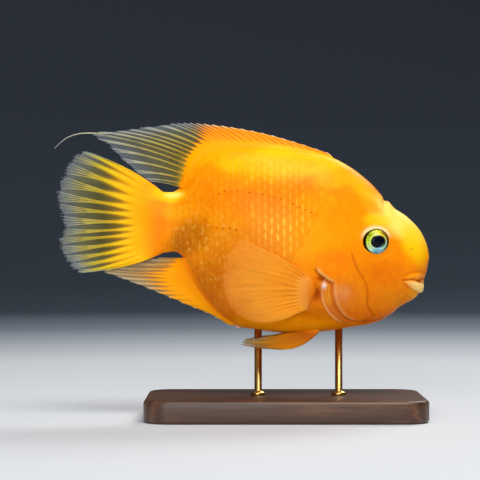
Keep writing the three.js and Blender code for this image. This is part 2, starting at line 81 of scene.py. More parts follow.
GILL_LOBE = [
    [47, -46], [39.5, -47.6], [32, -45.3], [27.3, -39.5], [25.2, -33], [25.2, -27],
]
GILL_FLAP = [[25.2, -27], [20.6, -24.2], [16.3, -19.8], [18.2, -14], [22, -9], [26, -6.2]]
GILL_HINGE = [
    [26, -6.2], [31, -5.2], [35.5, -8.5], [36.5, -15], [39, -21.5], [43, -32], [44.5, -38],
    [46.5, -42], [47, -46],
]
CHEEK_GROOVE = [
    [34.8, -9.5], [35.4, -13], [38.3, -20.5], [42.4, -27], [43.7, -34.2], [43.3, -38.3],
    [46, -43.5], [48.5, -45.6],
]
JAW_GROOVE = [[68.5, -37], [61, -41.6], [55, -45], [48.5, -47.6], [42, -48.6]]
GILL_RIM = [
    [21.5, -24.5], [19.6, -28], [19.2, -33], [20.3, -38], [22.8, -42.5], [27, -46.5], [31, -49],
]
NAPE_CREASE = [[53.8, 17.5], [52.6, 13], [50.6, 9], [47, 6]]
UPPER_LIP_CREASE = [[61.5, -24.2], [66.3, -22], [71, -21.4], [76.5, -21.4]]
LOWER_LIP_CREASE = [[61.8, -27.2], [63.9, -28.9], [67.4, -31], [70.6, -32.8], [73, -33.4]]
EYE_CENTRE = (47.9, -5.2)
EYE_RADIUS = 7.3
EYE_HALF_DEPTH = 4.8
EYE_SUNK = 2.1
EYE_TURN = 0.2
NOSTRIL = (67.5, -9.5)
VENT = (-25.4, 0, -51.6)
UPPER_LIP = [
    [63, -25.6], [65.4, -23.6], [67.4, -22.7], [70, -22.2], [73, -22], [79, -21.7], [79, -24.1],
    [74, -24.6], [71.6, -26], [69, -25.4], [66, -25.3],
]
LOWER_LIP = [
    [62.6, -26.2], [66, -25.6], [69, -25.7], [71.4, -26.6], [73.3, -25], [79, -24.2],
    [79, -32.4], [71.6, -32.8], [68, -31], [65.2, -28.9],
]
MOUTH_LINE = [[62.8, -26], [66, -25.5], [69, -25.6], [71.5, -26.5], [73.4, -24.8], [79, -24.1]]

SIDES = {"right": -1, "left": 1}
SHARP_RIM_DEGREES = 50


# Curves and distances

def spline(points):
    """A smooth curve through points, as a function of the share of the way along it."""
    table = np.array(points, float)
    last = len(table) - 1

    def at(share):
        place = np.clip(np.asarray(share, float), 0, 1) * last
        start = np.floor(place).astype(int)
        rest = place - start
        if table.ndim > 1:
            rest = rest[..., None]
        here = table[start]
        ahead = table[np.minimum(start + 1, last)]
        leaving = (ahead - table[np.maximum(start - 1, 0)]) / 2
        arriving = (table[np.minimum(start + 2, last)] - here) / 2
        square = 3 * (ahead - here) - 2 * leaving - arriving
        cube = 2 * (here - ahead) + leaving + arriving
        return here + leaving * rest + square * rest**2 + cube * rest**3

    return at


def line_of(points, steps=60):
    return spline(points)(np.linspace(0, 1, steps))


def smooth(low, high, value):
    """0 up to low, 1 from high on, and a smooth step between them."""
    share = np.clip((value - low) / (high - low), 0, 1)
    return share * share * (3 - 2 * share)


def mix(first, last, share):
    return first + (last - first) * share


def hump(distance, width):
    return np.exp(-((distance / width) ** 2))


def distance_to(line, x, z):
    """Distance from each place to a line of [x, z] points, and the share along it that is nearest."""
    best = np.full(np.shape(x), 1e9)
    nearest = np.zeros(np.shape(x))
    pieces = len(line) - 1
    for i in range(pieces):
        start = line[i]
        run = line[i + 1] - start
        if not run.any():
            continue
        share = np.clip(((x - start[0]) * run[0] + (z - start[1]) * run[1]) / (run @ run), 0, 1)
        gap = np.hypot(x - start[0] - share * run[0], z - start[1] - share * run[1])
        closer = gap < best
        best = np.where(closer, gap, best)
        nearest = np.where(closer, (i + share) / pieces, nearest)
    return best, nearest


def inside(outline, x, z):
    """True for each place inside a closed outline of [x, z] points."""
    result = np.zeros(np.shape(x), bool)
    for (x1, z1), (x2, z2) in zip(outline, np.roll(outline, -1, axis=0)):
        if z1 == z2:
            continue
        crosses = (z1 > z) != (z2 > z)
        result ^= crosses & (x < (x2 - x1) * (z - z1) / (z2 - z1) + x1)
    return result


def unit(vectors):
    return vectors / np.maximum(np.linalg.norm(vectors, axis=-1, keepdims=True), 1e-12)


# The body's surface

back_curve = spline(BACK_LINE)
flank_curve = spline(FLANK_LINE)
belly_curve = spline(BELLY_LINE)
width_curve = spline(HALF_WIDTHS)
TABLE_COLUMNS = 500
TABLE_ROWS = 300
TABLE_STEEPEST_ANGLE = 1.52


def body_place(along, angle):
    """The place on the body at a share of its length from the snout, at an angle round the ring."""
    rise = np.sin(angle)
    above = rise > 0
    crest = np.where(above[..., None], back_curve(along), belly_curve(along))
    flank = flank_curve(along)
    middle = flank + (crest - flank) * np.abs(rise)[..., None]
    top_fullness = mix(HEAD_TOP_FULLNESS, TAIL_TOP_FULLNESS, along)
    fullness = np.where(above, top_fullness, BELLY_FULLNESS)
    behind_snout = np.clip(along * (len(HALF_WIDTHS) - 1), 0, 1)
    half_width = width_curve(along) * np.sqrt(1 - (1 - behind_snout) ** 2)
    side = np.cos(angle)
    y = np.sign(side) * np.abs(side) ** fullness * half_width
    return np.stack([middle[..., 0], y, middle[..., 1]], -1)


def body_frame(along, angle):
    """The place on the body, its outward normal, and how far one step along and round takes it."""
    step = 1e-4
    place = body_place(along, angle)
    tailward = (body_place(along + step, angle) - body_place(along - step, angle)) / (2 * step)
    upward = (body_place(along, angle + step) - body_place(along, angle - step)) / (2 * step)
    normal = unit(np.cross(tailward, upward))
    outward = place - np.concatenate([place[..., :1], place[..., 1:2] * 0, place[..., 2:]], -1)
    outward[..., 2] += np.sin(angle) * 5
    flip = np.sign(np.sum(normal * outward, -1, keepdims=True))
    lengths = np.linalg.norm(tailward, axis=-1), np.linalg.norm(upward, axis=-1)
    return place, normal * np.where(flip == 0, 1, flip), lengths


def side_table():
    """A search table of the left side's surface by its side view."""
    columns = np.linspace(0, 1, TABLE_COLUMNS)
    rows = np.linspace(-TABLE_STEEPEST_ANGLE, TABLE_STEEPEST_ANGLE, TABLE_ROWS)
    along, angle = np.meshgrid(columns, rows, indexing="ij")
    places = body_place(along, angle).reshape(-1, 3)
    tree = kdtree.KDTree(len(places))
    for i, (x, _, z) in enumerate(places):
        tree.insert((x, 0, z), i)
    tree.balance()
    return tree, along.ravel(), angle.ravel(), places


side_tree, table_along, table_angle, table_places = side_table()


def on_side(x, z):
    """The share along the body, the angle and the half width at a place seen from the side."""
    _, i, _ = side_tree.find((x, 0, z))
    return table_along[i], table_angle[i], table_places[i][1]


def to_world(places):
    """Places on the fish, in millimetres, as places in the frame, in metres, with the tail bent."""
    moved = np.array(places, float)
    behind = np.maximum(BEND_START_X - moved[..., 0], 0) / BEND_LENGTH
    moved[..., 1] += BEND_AT_TIP * behind**2
    moved[..., 2] += FISH_HEIGHT
    return moved * MM


# Meshes

def mesh_of(bm, name):
    mesh = bpy.data.meshes.new(name)
    bm.to_mesh(mesh)
    bm.free()
    return mesh


def places_of(mesh):
    places = np.empty(len(mesh.vertices) * 3)
    mesh.vertices.foreach_get("co", places)
    return places.reshape(-1, 3)


def set_places(mesh, places):
    mesh.vertices.foreach_set("co", np.ascontiguousarray(places, np.float32).ravel())
    mesh.update()


def set_value(mesh, name, values):
    """Stores one number for each corner point of a mesh, for its material to read."""
    attribute = mesh.attributes.new(name, "FLOAT", "POINT")
    attribute.data.foreach_set("value", np.ascontiguousarray(values, np.float32).ravel())


def set_map(mesh, name, values):
    """Stores a UV map from one [u, v] for each corner point of a mesh."""
    layer = mesh.uv_layers.new(name=name)
    corners = np.empty(len(mesh.loops), int)
    mesh.loops.foreach_get("vertex_index", corners)
    layer.data.foreach_set("uv", np.ascontiguousarray(values[corners], np.float32).ravel())


def face_out(mesh):
    """Turns the faces of closed shapes round where they point inwards."""
    mesh.calc_loop_triangles()
    corners = np.empty(len(mesh.loop_triangles) * 3, int)
    mesh.loop_triangles.foreach_get("vertices", corners)
    a, b, c = places_of(mesh)[corners].reshape(-1, 3, 3).transpose(1, 0, 2)
    if np.sum(a * np.cross(b, c)) < 0:
        mesh.flip_normals()


def show(name, mesh, material, replaces=(), crisp_rims=False):
    """Puts a finished mesh in the scene, on the body that carries it."""
    face_out(mesh)
    mesh.shade_smooth()
    if crisp_rims:
        mesh.set_sharp_from_angle(angle=math.radians(SHARP_RIM_DEGREES))
    mesh.materials.clear()
    mesh.materials.append(material)
    piece = bpy.data.objects.new(name, mesh)
    bpy.context.scene.collection.objects.link(piece)
    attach(piece, "root")
    if replaces:
        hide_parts(*replaces)
    return piece


def copies(template, count, name):
    """A mesh that holds a template count times over, one copy after another."""
    original = bpy.data.objects.new(name, template)
    bpy.context.scene.collection.objects.link(original)
    array = original.modifiers.new("array", "ARRAY")
    array.count = count
    array.use_relative_offset = False
    array.use_constant_offset = True
    array.constant_offset_displace = (0, 0, 0)
    array.use_merge_vertices = False
    evaluated = original.evaluated_get(bpy.context.evaluated_depsgraph_get())
    mesh = bpy.data.meshes.new_from_object(evaluated)
    bpy.data.objects.remove(original)
    return mesh


# Shader nodes

def colour(red, green, blue):
    """A display colour of three numbers up to 255, as the linear colour that a shader takes."""
    parts = [value / 255 for value in (red, green, blue)]
    linear = [p / 12.92 if p <= 0.04045 else ((p + 0.055) / 1.055) ** 2.4 for p in parts]
    return (*linear, 1)


def node(tree, kind, inputs=None, **settings):
    made = tree.nodes.new("ShaderNode" + kind)
    for name, value in settings.items():
        setattr(made, name, value)
    for name, value in (inputs or {}).items():
        socket = made.inputs[name]
        if isinstance(value, bpy.types.NodeSocket):
            tree.links.new(value, socket)
        else:
            socket.default_value = value
    return made


def maths(tree, operation, first, second=0.0, third=0.0, clamp=False):
    inputs = {0: first, 1: second, 2: third}
    return node(tree, "Math", inputs, operation=operation, use_clamp=clamp).outputs[0]


def blend(tree, factor, first, second, mode="MIX"):
    inputs = {0: factor, 6: first, 7: second}
    return node(tree, "Mix", inputs, data_type="RGBA", blend_type=mode).outputs[2]


def stretch(tree, value, from_low, from_high, to_low=0.0, to_high=1.0):
    inputs = {0: value, 1: from_low, 2: from_high, 3: to_low, 4: to_high}
    made = node(tree, "MapRange", inputs, interpolation_type="SMOOTHSTEP", clamp=True)
    return made.outputs[0]


def plain_ramp(tree, factor, stops):
    """A ramp with stops of (place, linear colour)."""
    made = node(tree, "ValToRGB", {0: factor})
    elements = made.color_ramp.elements
    while len(elements) < len(stops):
        elements.new(0.5)
    for element, (place, _) in zip(elements, stops):
        element.position = place
    for element, (_, shade) in zip(elements, stops):
        element.color = shade
    return made.outputs[0]


def ramp(tree, factor, stops):
    """A ramp with stops of (place, display colour)."""
    return plain_ramp(tree, factor, [(place, colour(*tint)) for place, tint in stops])


def value_of(tree, name):
    return node(tree, "Attribute", attribute_name=name, attribute_type="GEOMETRY").outputs["Fac"]


def noise(tree, vector, scale, detail=3.0, roughness=0.55):
    inputs = {"Vector": vector, "Scale": scale, "Detail": detail, "Roughness": roughness}
    return node(tree, "TexNoise", inputs)


def object_place(tree):
    return node(tree, "TexCoord").outputs["Object"]


def new_material(name, **settings):
    """A material with one principled shader, whose plain settings are set on its own sockets."""
    material = bpy.data.materials.new(name)
    material.use_nodes = True
    tree = material.node_tree
    shader = tree.nodes["Principled BSDF"]
    for socket, value in settings.items():
        shader.inputs[socket.replace("_", " ")].default_value = value
    return material, tree, shader


def bump(tree, shader, height, strength, distance_m):
    inputs = {"Height": height, "Strength": strength, "Distance": distance_m}
    made = node(tree, "Bump", inputs)
    tree.links.new(made.outputs[0], shader.inputs["Normal"])


# The fish's colours

# A ramp by height comes first, as (height, colour). Soft patches seen from the side lie over it, each
# as (x, z, half length, half height, turn in degrees, colour, strength)
HEIGHT_COLOURS = [
    (-60, (205, 100, 4)), (-44, (222, 112, 3)), (-22, (240, 128, 3)), (-2, (252, 142, 5)),
    (14, (255, 146, 4)), (24, (255, 140, 0)), (31, (255, 156, 0)), (38, (255, 166, 0)),
    (48, (255, 168, 2)),
]
PAINT = [
    (20, 38, 46, 9, -14, (255, 194, 8), 0.8),
    (-20, 35.5, 26, 6.5, 4, (255, 200, 6), 0.6),
    (-5, 42, 17, 6, -5, (255, 208, 10), 0.6),
    (-6, 19, 50, 11, -4, (255, 130, 0), 0.85),
    (34, 13, 20, 11, 10, (255, 140, 0), 0.7),
    (24, 27, 13, 6, -8, (255, 186, 6), 0.6),
    (-42, 27, 14, 13, 60, (255, 138, 0), 0.75),
    # Painted highlight on the top of the tail stalk
    (-62, 19.5, 10, 4.5, 0, (255, 216, 20), 0.7),
    # A painted glint on the top of the tail stalk
    (-60.5, 20, 6, 2, 0, (255, 240, 120), 0.6),
    (-67, 3, 6, 12, 8, (255, 130, 0), 0.75),
    (-60, 11, 9, 5, 0, (255, 172, 8), 0.6),
    (-73, 21, 9, 5, -25, (255, 206, 0), 0.85),
    (-52, -3, 16, 10, -36, (190, 98, 0), 0.8),
    (-38, -26, 24, 14, -42, (206, 106, 0), 0.7),
    (-22, -8, 26, 14, 0, (236, 136, 16), 0.5),
    (12, -3, 19, 16, 20, (255, 158, 4), 0.7),
    (16, 17, 12, 7, 0, (255, 160, 0), 0.6),
    # The belly's own orange, painted brighter as well: painted light where the underside is in shade
    (0, -50, 36, 7, 0, (255, 152, 4), 0.9),
    # The forehead's own lemon yellow, made paler as well by a painted highlight
    (61, 6, 24, 9, 38, (255, 226, 104), 0.95),
    (69, -6, 14, 9, 62, (255, 204, 10), 0.85),
    (49, 6, 9, 5, 0, (255, 206, 20), 0.7),
    (41, 23, 12, 6, 40, (255, 190, 16), 0.6),
    (46, 14, 8, 4, 35, (255, 156, 0), 0.8),
    (30, -2, 12, 8, 0, (255, 150, 4), 0.6),
    (52, -22, 15, 9, 12, (232, 112, 0), 0.9),
    # The upper lip's own orange, painted brighter as well: painted light where it faces down
    (70, -24, 8, 3, 0, (255, 148, 8), 0.7),
    (62, -37, 14, 6, 28, (226, 126, 8), 0.75),
    (70, -33, 6, 5, 28, (240, 160, 20), 0.8),
    (32, -19, 6, 10, 0, (240, 130, 8), 0.6),
    (30, -36, 9, 12, 15, (222, 114, 34), 0.7),
    (29.5, -32.5, 5, 6, 15, (226, 140, 80), 0.6),
    (22.4, -33, 2.6, 7, -6, (240, 156, 20), 0.6),
    (24, -16, 10, 9, 0, (246, 124, 10), 0.65),
    (40, -43, 14, 5, 5, (222, 98, 8), 0.6),
    (15, -43, 12, 5, 10, (212, 108, 2), 0.6),
]
PAINT_WANDER = 5
PATCH_EDGE = (0.35, 1.15)


def paint_group():
    """The fish's colours as one group of nodes, from a place in the frame to its colour."""
    tree = bpy.data.node_groups.new("fish_paint", "ShaderNodeTree")
    tree.interface.new_socket("Place", in_out="INPUT", socket_type="NodeSocketVector")
    tree.interface.new_socket("Colour", in_out="OUTPUT", socket_type="NodeSocketColor")
    entry = tree.nodes.new("NodeGroupInput")
    leave = tree.nodes.new("NodeGroupOutput")
    in_mm = {0: entry.outputs[0], 1: (1 / MM, 0, 1 / MM), 2: (0, 0, -FISH_HEIGHT)}
    flat = node(tree, "VectorMath", in_mm, operation="MULTIPLY_ADD").outputs[0]
    cloud = noise(tree, flat, 0.07, 2.0).outputs["Color"]
    centred = node(tree, "VectorMath", {0: cloud, 1: (0.5, 0.5, 0.5)}, operation="SUBTRACT").outputs[0]
    drift = {0: centred, 1: (PAINT_WANDER, 0, PAINT_WANDER), 2: flat}
    place = node(tree, "VectorMath", drift, operation="MULTIPLY_ADD").outputs[0]
    height = node(tree, "SeparateXYZ", {0: place}).outputs[2]
    low, high = HEIGHT_COLOURS[0][0], HEIGHT_COLOURS[-1][0]
    share = node(tree, "MapRange", {0: height, 1: low, 2: high}).outputs[0]
    shade = ramp(tree, share, [((z - low) / (high - low), tint) for z, tint in HEIGHT_COLOURS])
    for x, z, half_length, half_height, turn, tint, strength in PAINT:
        patch = node(tree, "Mapping", {
            "Vector": place, "Location": (x, 0, z), "Rotation": (0, math.radians(turn), 0),
            "Scale": (half_length, 1, half_height),
        }, vector_type="TEXTURE")
        reach = node(tree, "VectorMath", {0: patch.outputs[0]}, operation="LENGTH").outputs["Value"]
        shade = blend(tree, stretch(tree, reach, *PATCH_EDGE, strength, 0.0), shade, colour(*tint))
    tree.links.new(shade, leave.inputs[0])
    return tree


PAINT_GROUP = paint_group()


def paint(tree):
    made = node(tree, "Group", node_tree=PAINT_GROUP)
    tree.links.new(object_place(tree), made.inputs[0])
    return made.outputs[0]


# The colour that each mask of the skin's relief lays on it. The darkening in grooves, creases, gaps and
# hollows is painted shade, the pale mark above the eye and the glint are painted highlights, and the
# lips' mask is their own paleness and also a painted highlight along the gill flap's rim
SKIN_TINTS = {
    "lip": (255, 222, 136), "painted_shade": (168, 66, 0), "rim": (255, 186, 120),
    "glint": (255, 240, 236), "highlight_above_eye": (255, 236, 176),
}
SKIN_MOTTLE = (255, 190, 10)
# How far red, green and blue light spread in the skin, each as a share of its glow's depth
SKIN_GLOW_SPREAD = (1.0, 0.4, 0.1)
# Painted shade at the root of each scale, where it runs under the one in front
SCALE_ROOT_PAINTED_SHADE = (214, 96, 0)
# A painted highlight streak across each scale
SCALE_HIGHLIGHT_STREAK = (255, 216, 76)
# Painted shade along each scale's free edge
SCALE_FREE_EDGE_SHADE = (206, 96, 0)
PALE_FLECK = (252, 190, 80)
DARK_FLECK = (178, 84, 0)
PALER_SCALE = (255, 200, 20)
DARKER_SCALE = (206, 92, 0)
HIGHLIGHT_STREAK_PLACE = 0.66
HIGHLIGHT_STREAK_HALF_WIDTH = 0.15


def wet_skin(name, roughness, glow, glow_depth_m):
    """Wet skin that lets a little light through."""
    return new_material(
        name, Roughness=roughness, Specular_IOR_Level=0.05, Subsurface_Weight=glow,
        Subsurface_Scale=glow_depth_m, Subsurface_Radius=SKIN_GLOW_SPREAD, Coat_Weight=0.03,
        Coat_Roughness=0.2,
    )


def skin_material():
    material, tree, shader = wet_skin("fish_skin", 0.42, 0.12, 0.004)
    place = object_place(tree)
    cloud = noise(tree, place, 260, 4).outputs["Fac"]
    mottle = stretch(tree, cloud, 0.35, 0.75, 0.0, 0.16)
    shade = blend(tree, mottle, paint(tree), colour(*SKIN_MOTTLE))
    for name, tint in SKIN_TINTS.items():
        shade = blend(tree, value_of(tree, name), shade, colour(*tint))
    tree.links.new(shade, shader.inputs["Base Color"])
    grain = noise(tree, place, 1500, 3).outputs["Fac"]
    dimples = noise(tree, place, 520, 2).outputs["Fac"]
    bump(tree, shader, maths(tree, "ADD", grain, dimples), 0.12, 0.0004)
    return material


def scale_highlight_streak(tree):
    """The painted highlight streak across each scale, narrow at its ends and patchy over the flank."""
    bend = maths(tree, "SUBTRACT", value_of(tree, "bend"), HIGHLIGHT_STREAK_PLACE)
    from_highlight_streak = maths(tree, "ABSOLUTE", bend)
    middle = value_of(tree, "middle")
    narrowed = maths(tree, "MULTIPLY_ADD", middle, -HIGHLIGHT_STREAK_HALF_WIDTH, from_highlight_streak)
    highlight_streak = stretch(tree, narrowed, -HIGHLIGHT_STREAK_HALF_WIDTH, 0.01, 1.0, 0.0)
    cloud = noise(tree, object_place(tree), 110, 3).outputs["Fac"]
    patches = stretch(tree, cloud, 0.32, 0.6, 0.26, 0.82)
    uneven = stretch(tree, value_of(tree, "tone"), 0.0, 1.0, 0.65, 1.0)
    return maths(tree, "MULTIPLY", highlight_streak, maths(tree, "MULTIPLY", patches, uneven))


def scale_material():
    """The skin's paint, with marks laid over it as (amount, where it shows, colour): painted shade at
    each scale's root and free edge, a painted highlight streak across it, flecks on the rear flank, and
    paler and darker scales.
    """
    material, tree, shader = wet_skin("fish_scale", 0.4, 0.1, 0.003)
    edge = value_of(tree, "edge")
    tone = value_of(tree, "tone")
    strength = value_of(tree, "strength")
    speckled = value_of(tree, "speckled")
    flecks = noise(tree, object_place(tree), 420, 2).outputs["Fac"]
    marks = [
        (stretch(tree, edge, 0.3, 0.6, 0.1, 0.0), strength, SCALE_ROOT_PAINTED_SHADE),
        (scale_highlight_streak(tree), strength, SCALE_HIGHLIGHT_STREAK),
        (stretch(tree, edge, 0.92, 1.0, 0.0, 0.06), strength, SCALE_FREE_EDGE_SHADE),
        (stretch(tree, flecks, 0.56, 0.68, 0.0, 0.5), speckled, PALE_FLECK),
        (stretch(tree, flecks, 0.32, 0.44, 0.4, 0.0), speckled, DARK_FLECK),
        (stretch(tree, tone, 0.5, 1.0, 0.0, 0.08), 1.0, PALER_SCALE),
        (stretch(tree, tone, 0.0, 0.5, 0.08, 0.0), 1.0, DARKER_SCALE),
    ]
    shade = paint(tree)
    for amount, where, tint in marks:
        shade = blend(tree, maths(tree, "MULTIPLY", amount, where), shade, colour(*tint))
    tree.links.new(shade, shader.inputs["Base Color"])
    grain = noise(tree, object_place(tree), 1500, 3).outputs["Fac"]
    bump(tree, shader, grain, 0.1, 0.0003)
    return material


# Skin

SKIN_RINGS = 300
SKIN_SIDES = 330
RING_SPREAD = [0, 0.13, 0.26, 0.34, 0.42, 0.5, 0.7, 1]
SIDE_CROWDING = 0.35
RELIEF_BACK_END = -8
MOUTH_BACK_END = 56

# A pair is where a change starts and where it is full, unless its own comment says otherwise. A spot
# is (x, z, half length, half height) seen from the side, and a ball is its centre and its half
# lengths along x, y and z
COVER_HEIGHT = 1.1
COVER_STEP = (-0.4, 0.6)
COVER_THINS = (1.5, 15)
COVER_SINKS_ABOVE = (-21.5, -17)
COVER_GAP_DEPTH = 0.85
COVER_GAP_CLOSES_ABOVE = (-21, -18.5)
COVER_GAP_SHADE_GROWS_ABOVE = (-29, -26)
FLAP_HIGHLIGHT_FROM = (-27.5, -25)
FLAP_HIGHLIGHT_TO = (-20.5, -18.5)
LOBE_RIM_TO = (-28, -26)
BEHIND_FLAP = (19, -24.9, 2.8, 1.5)
BEHIND_FLAP_DEPTH = 0.7
# Each fold as its distance in front of the rim, height, width and how pale its crest is
GILL_FOLDS = [(0, 0.9, 0.42, 0.8), (2, 0.5, 0.5, 0.1), (3.7, 0.4, 0.5, 0.1)]
GILL_GLINT = (20.1, -28.4, 0.99, 1.35)
GILL_GLINT_HEIGHT = 0.7
FIN_SWELLING = (8.5, -34.5, 6.2, 7.6)
FIN_SWELLING_HEIGHT = 0.5
ARMPIT = (16.4, -33.4, 2.5, 3.8)
ARMPIT_DEPTH = 1.5
CHEEK_WIDTH = 0.55
CHEEK_DEPTH = 0.5
CHEEK_BANK_WIDTH = 3.2
CHEEK_BANK_HEIGHT = 0.2
JAW_WIDTH = 0.6
JAW_DEPTH = 0.55
NAPE_NOTCH_WIDTH = 1.5
NAPE_NOTCH_DEPTH = 1.1
NAPE_WIDTH = 0.9
NAPE_DEPTH = 0.15
NOSTRIL_RADIUS = 0.55
NOSTRIL_DEPTH = 0.7
NOSTRIL_RIM_RADIUS = 1.1
NOSTRIL_RIM_HEIGHT = 0.15
# The length and the height of the eye's opening, as shares of a round one
EYE_OPENING = (1.03, 0.93)
EYE_SOCKET = (6.15, 6.85)
EYE_SOCKET_DEPTH = 3.4
EYE_RIM_RADIUS = 7.5
EYE_RIM_HEIGHT = 0.8
BROW_RADIUS = 8.7
BROW_HEIGHT = 0.3
HIGHLIGHT_ABOVE_EYE_RADIUS = 7.7
SNOUT_TIP = ((78, 0, -13.5), (2.6, 2.6, 2.6))
SNOUT_FLATTENING = 0.4
UPPER_LIP_FRONT = ((75.5, 0, -21.7), (2.6, 7, 2.6))
UPPER_LIP_FRONT_HEIGHT = 0.9
CHIN = ((71.3, 0, -33.2), (3, 8, 2.4))
CHIN_HEIGHT = 1.1
# Heights and rounding of the lips at the corner of the mouth and at the front
UPPER_LIP_HEIGHTS = (0.7, 0.3)
UPPER_LIP_ROUNDING = 1.7
LOWER_LIP_HEIGHTS = (0.7, 2.9)
LOWER_LIP_ROUNDINGS = (2.2, 2.8)
BETWEEN_LIPS = ((74, 0, -24.6), (2, 4, 1.2))
BETWEEN_LIPS_HEIGHT = 1.3
MOUTH_SEAM_WIDTH = 0.6
MOUTH_SEAM_DEPTH = 0.7
MOUTH_HOLLOW = (71.9, -26.5, 1.4, 0.8)
MOUTH_HOLLOW_DEPTH = 0.7
LIP_CREASE_WIDTH = 0.5
LIP_CREASE_DEPTH = 0.2
VENT_RADIUS = 1.3
VENT_HEIGHT = 2.1
# The most painted shade that the relief lays on any place
PAINTED_SHADE_LIMIT = 0.9


class Relief:
    """The heights that the skin's features add to the plain body, and the masks that colour them."""

    def __init__(self, places):
        self.places = places
        self.x, self.z = places[:, 0], places[:, 2]
        self.lift = np.zeros(len(places))
        self.masks = {name: np.zeros(len(places)) for name in SKIN_TINTS}


def within(outline, x, z):
    """How deep each place lies inside a closed outline, 0 outside it."""
    closed = np.array(outline + outline[:1], float)
    depth, _ = distance_to(closed, x, z)
    return np.where(inside(closed, x, z), depth, 0)


def swell(depth, reach):
    """A rounded rise from 0 at an outline to 1 at the depth where it is full."""
    return np.sqrt(1 - (1 - np.clip(depth / reach, 0, 1)) ** 2)


def spot(x, z, centre_x, centre_z, half_length, half_height):
    """A soft round spot seen from the side, 1 at its centre."""
    return hump(np.hypot((x - centre_x) / half_length, (z - centre_z) / half_height), 1)


def ball(places, centre, half_lengths):
    """A soft ball in space, 1 at its centre."""
    return hump(np.linalg.norm((places - centre) / half_lengths, axis=1), 1)


def shape_gill_cover(relief):
    """The gill cover, thickest at its free edge, with painted shade in the gap under that edge and in
    the hollow behind the flap, and a painted highlight along the flap's rim.
    """
    x, z, masks = relief.x, relief.z, relief.masks
    hinge = line_of(GILL_HINGE)
    free_edge = np.concatenate([line_of(GILL_LOBE), line_of(GILL_FLAP)])
    on_cover = inside(np.concatenate([hinge, free_edge]), x, z)
    to_edge, _ = distance_to(free_edge, x, z)
    to_hinge, _ = distance_to(hinge, x, z)
    inward = np.where(on_cover, to_edge, -to_edge)
    plate = smooth(*COVER_STEP, inward) * mix(1, 0.2, smooth(*COVER_THINS, to_edge))
    plate *= smooth(0, 9, to_hinge) * mix(1, 0.08, smooth(*COVER_SINKS_ABOVE, z))
    gap = hump(inward + 0.7, 0.8) * smooth(0, 8, to_hinge)
    gap *= mix(1, 0.05, smooth(*COVER_GAP_CLOSES_ABOVE, z))
    behind_flap = np.where(on_cover, 0, spot(x, z, *BEHIND_FLAP))
    relief.lift += COVER_HEIGHT * plate - COVER_GAP_DEPTH * gap - BEHIND_FLAP_DEPTH * behind_flap
    # Painted shade in the gap under the cover's edge and in the hollow behind the flap
    masks["painted_shade"] += mix(0.35, 0.65, smooth(*COVER_GAP_SHADE_GROWS_ABOVE, z)) * gap + behind_flap
    # Painted highlight along the flap's rim, laid on with the lips' pale colour
    flap_rim_highlight = hump(inward - 0.5, 0.6) * smooth(*FLAP_HIGHLIGHT_FROM, z) * (1 - smooth(*FLAP_HIGHLIGHT_TO, z))
    masks["lip"] += 0.65 * flap_rim_highlight
    lobe_rim = hump(inward - 0.7, 0.8) * smooth(6, 14, to_hinge) * (1 - smooth(*LOBE_RIM_TO, z))
    masks["rim"] += 0.4 * lobe_rim
    return on_cover


def shape_gill_folds(relief, on_cover):
    """The folds of the gill membrane that show behind the cover, with painted shade beside them, and
    the wet glint on its rim.
    """
    x, z, masks = relief.x, relief.z, relief.masks
    shade_beside_folds = np.zeros(len(x))
    for forward, height, width, pale in GILL_FOLDS:
        to_fold, share = distance_to(line_of(GILL_RIM) + [forward, 0], x, z)
        fold = hump(to_fold, width) * smooth(0, 0.12, share) * (1 - smooth(0.8, 1, share))
        fold = np.where(on_cover, 0, fold)
        relief.lift += height * fold
        shade_beside_folds += hump(to_fold, 1.8 * width) * (1 - hump(to_fold, 0.8 * width)) * (fold > 0.02)
        masks["rim"] = np.maximum(masks["rim"], pale * fold)
    # Painted shade beside the folds
    masks["painted_shade"] += 0.4 * np.minimum(shade_beside_folds, 1)
    glint = spot(x, z, *GILL_GLINT)
    relief.lift += GILL_GLINT_HEIGHT * glint
    masks["glint"] += glint


def shape_fin_root(relief, on_cover):
    """The swelling under the pectoral fin's root, and the hollow in front of it, with painted shade in
    the hollow.
    """
    swelling = np.where(on_cover, 0, spot(relief.x, relief.z, *FIN_SWELLING))
    hollow = np.where(on_cover, 0, spot(relief.x, relief.z, *ARMPIT))
    relief.lift += FIN_SWELLING_HEIGHT * swelling - ARMPIT_DEPTH * hollow
    # Painted shade in the hollow in front of the fin's root
    relief.masks["painted_shade"] += 1.2 * hollow


def shape_grooves(relief):
    """The groove down the cheek with its soft banks, the one along the jaw, and the nape's crease, each
    with painted shade in it.
    """
    to_cheek, share = distance_to(line_of(CHEEK_GROOVE), relief.x, relief.z)
    ends = smooth(0, 0.15, share) * (1 - smooth(0.92, 1, share))
    cheek = hump(to_cheek, CHEEK_WIDTH) * ends
    relief.lift += CHEEK_BANK_HEIGHT * hump(to_cheek, CHEEK_BANK_WIDTH) * ends - CHEEK_DEPTH * cheek
    to_jaw, share = distance_to(line_of(JAW_GROOVE), relief.x, relief.z)
    jaw = hump(to_jaw, JAW_WIDTH) * smooth(0, 0.3, share)
    relief.lift -= JAW_DEPTH * jaw
    to_nape, share = distance_to(line_of(NAPE_CREASE), relief.x, relief.z)
    nape = hump(to_nape, NAPE_WIDTH) * (1 - smooth(0.3, 1, share))
    notch = hump(to_nape, NAPE_NOTCH_WIDTH) * (1 - smooth(0, 0.5, share))
    relief.lift -= NAPE_DEPTH * nape + NAPE_NOTCH_DEPTH * notch
    # Painted shade in the grooves and the nape's crease
    relief.masks["painted_shade"] += 0.5 * cheek + 0.5 * jaw + 0.12 * nape


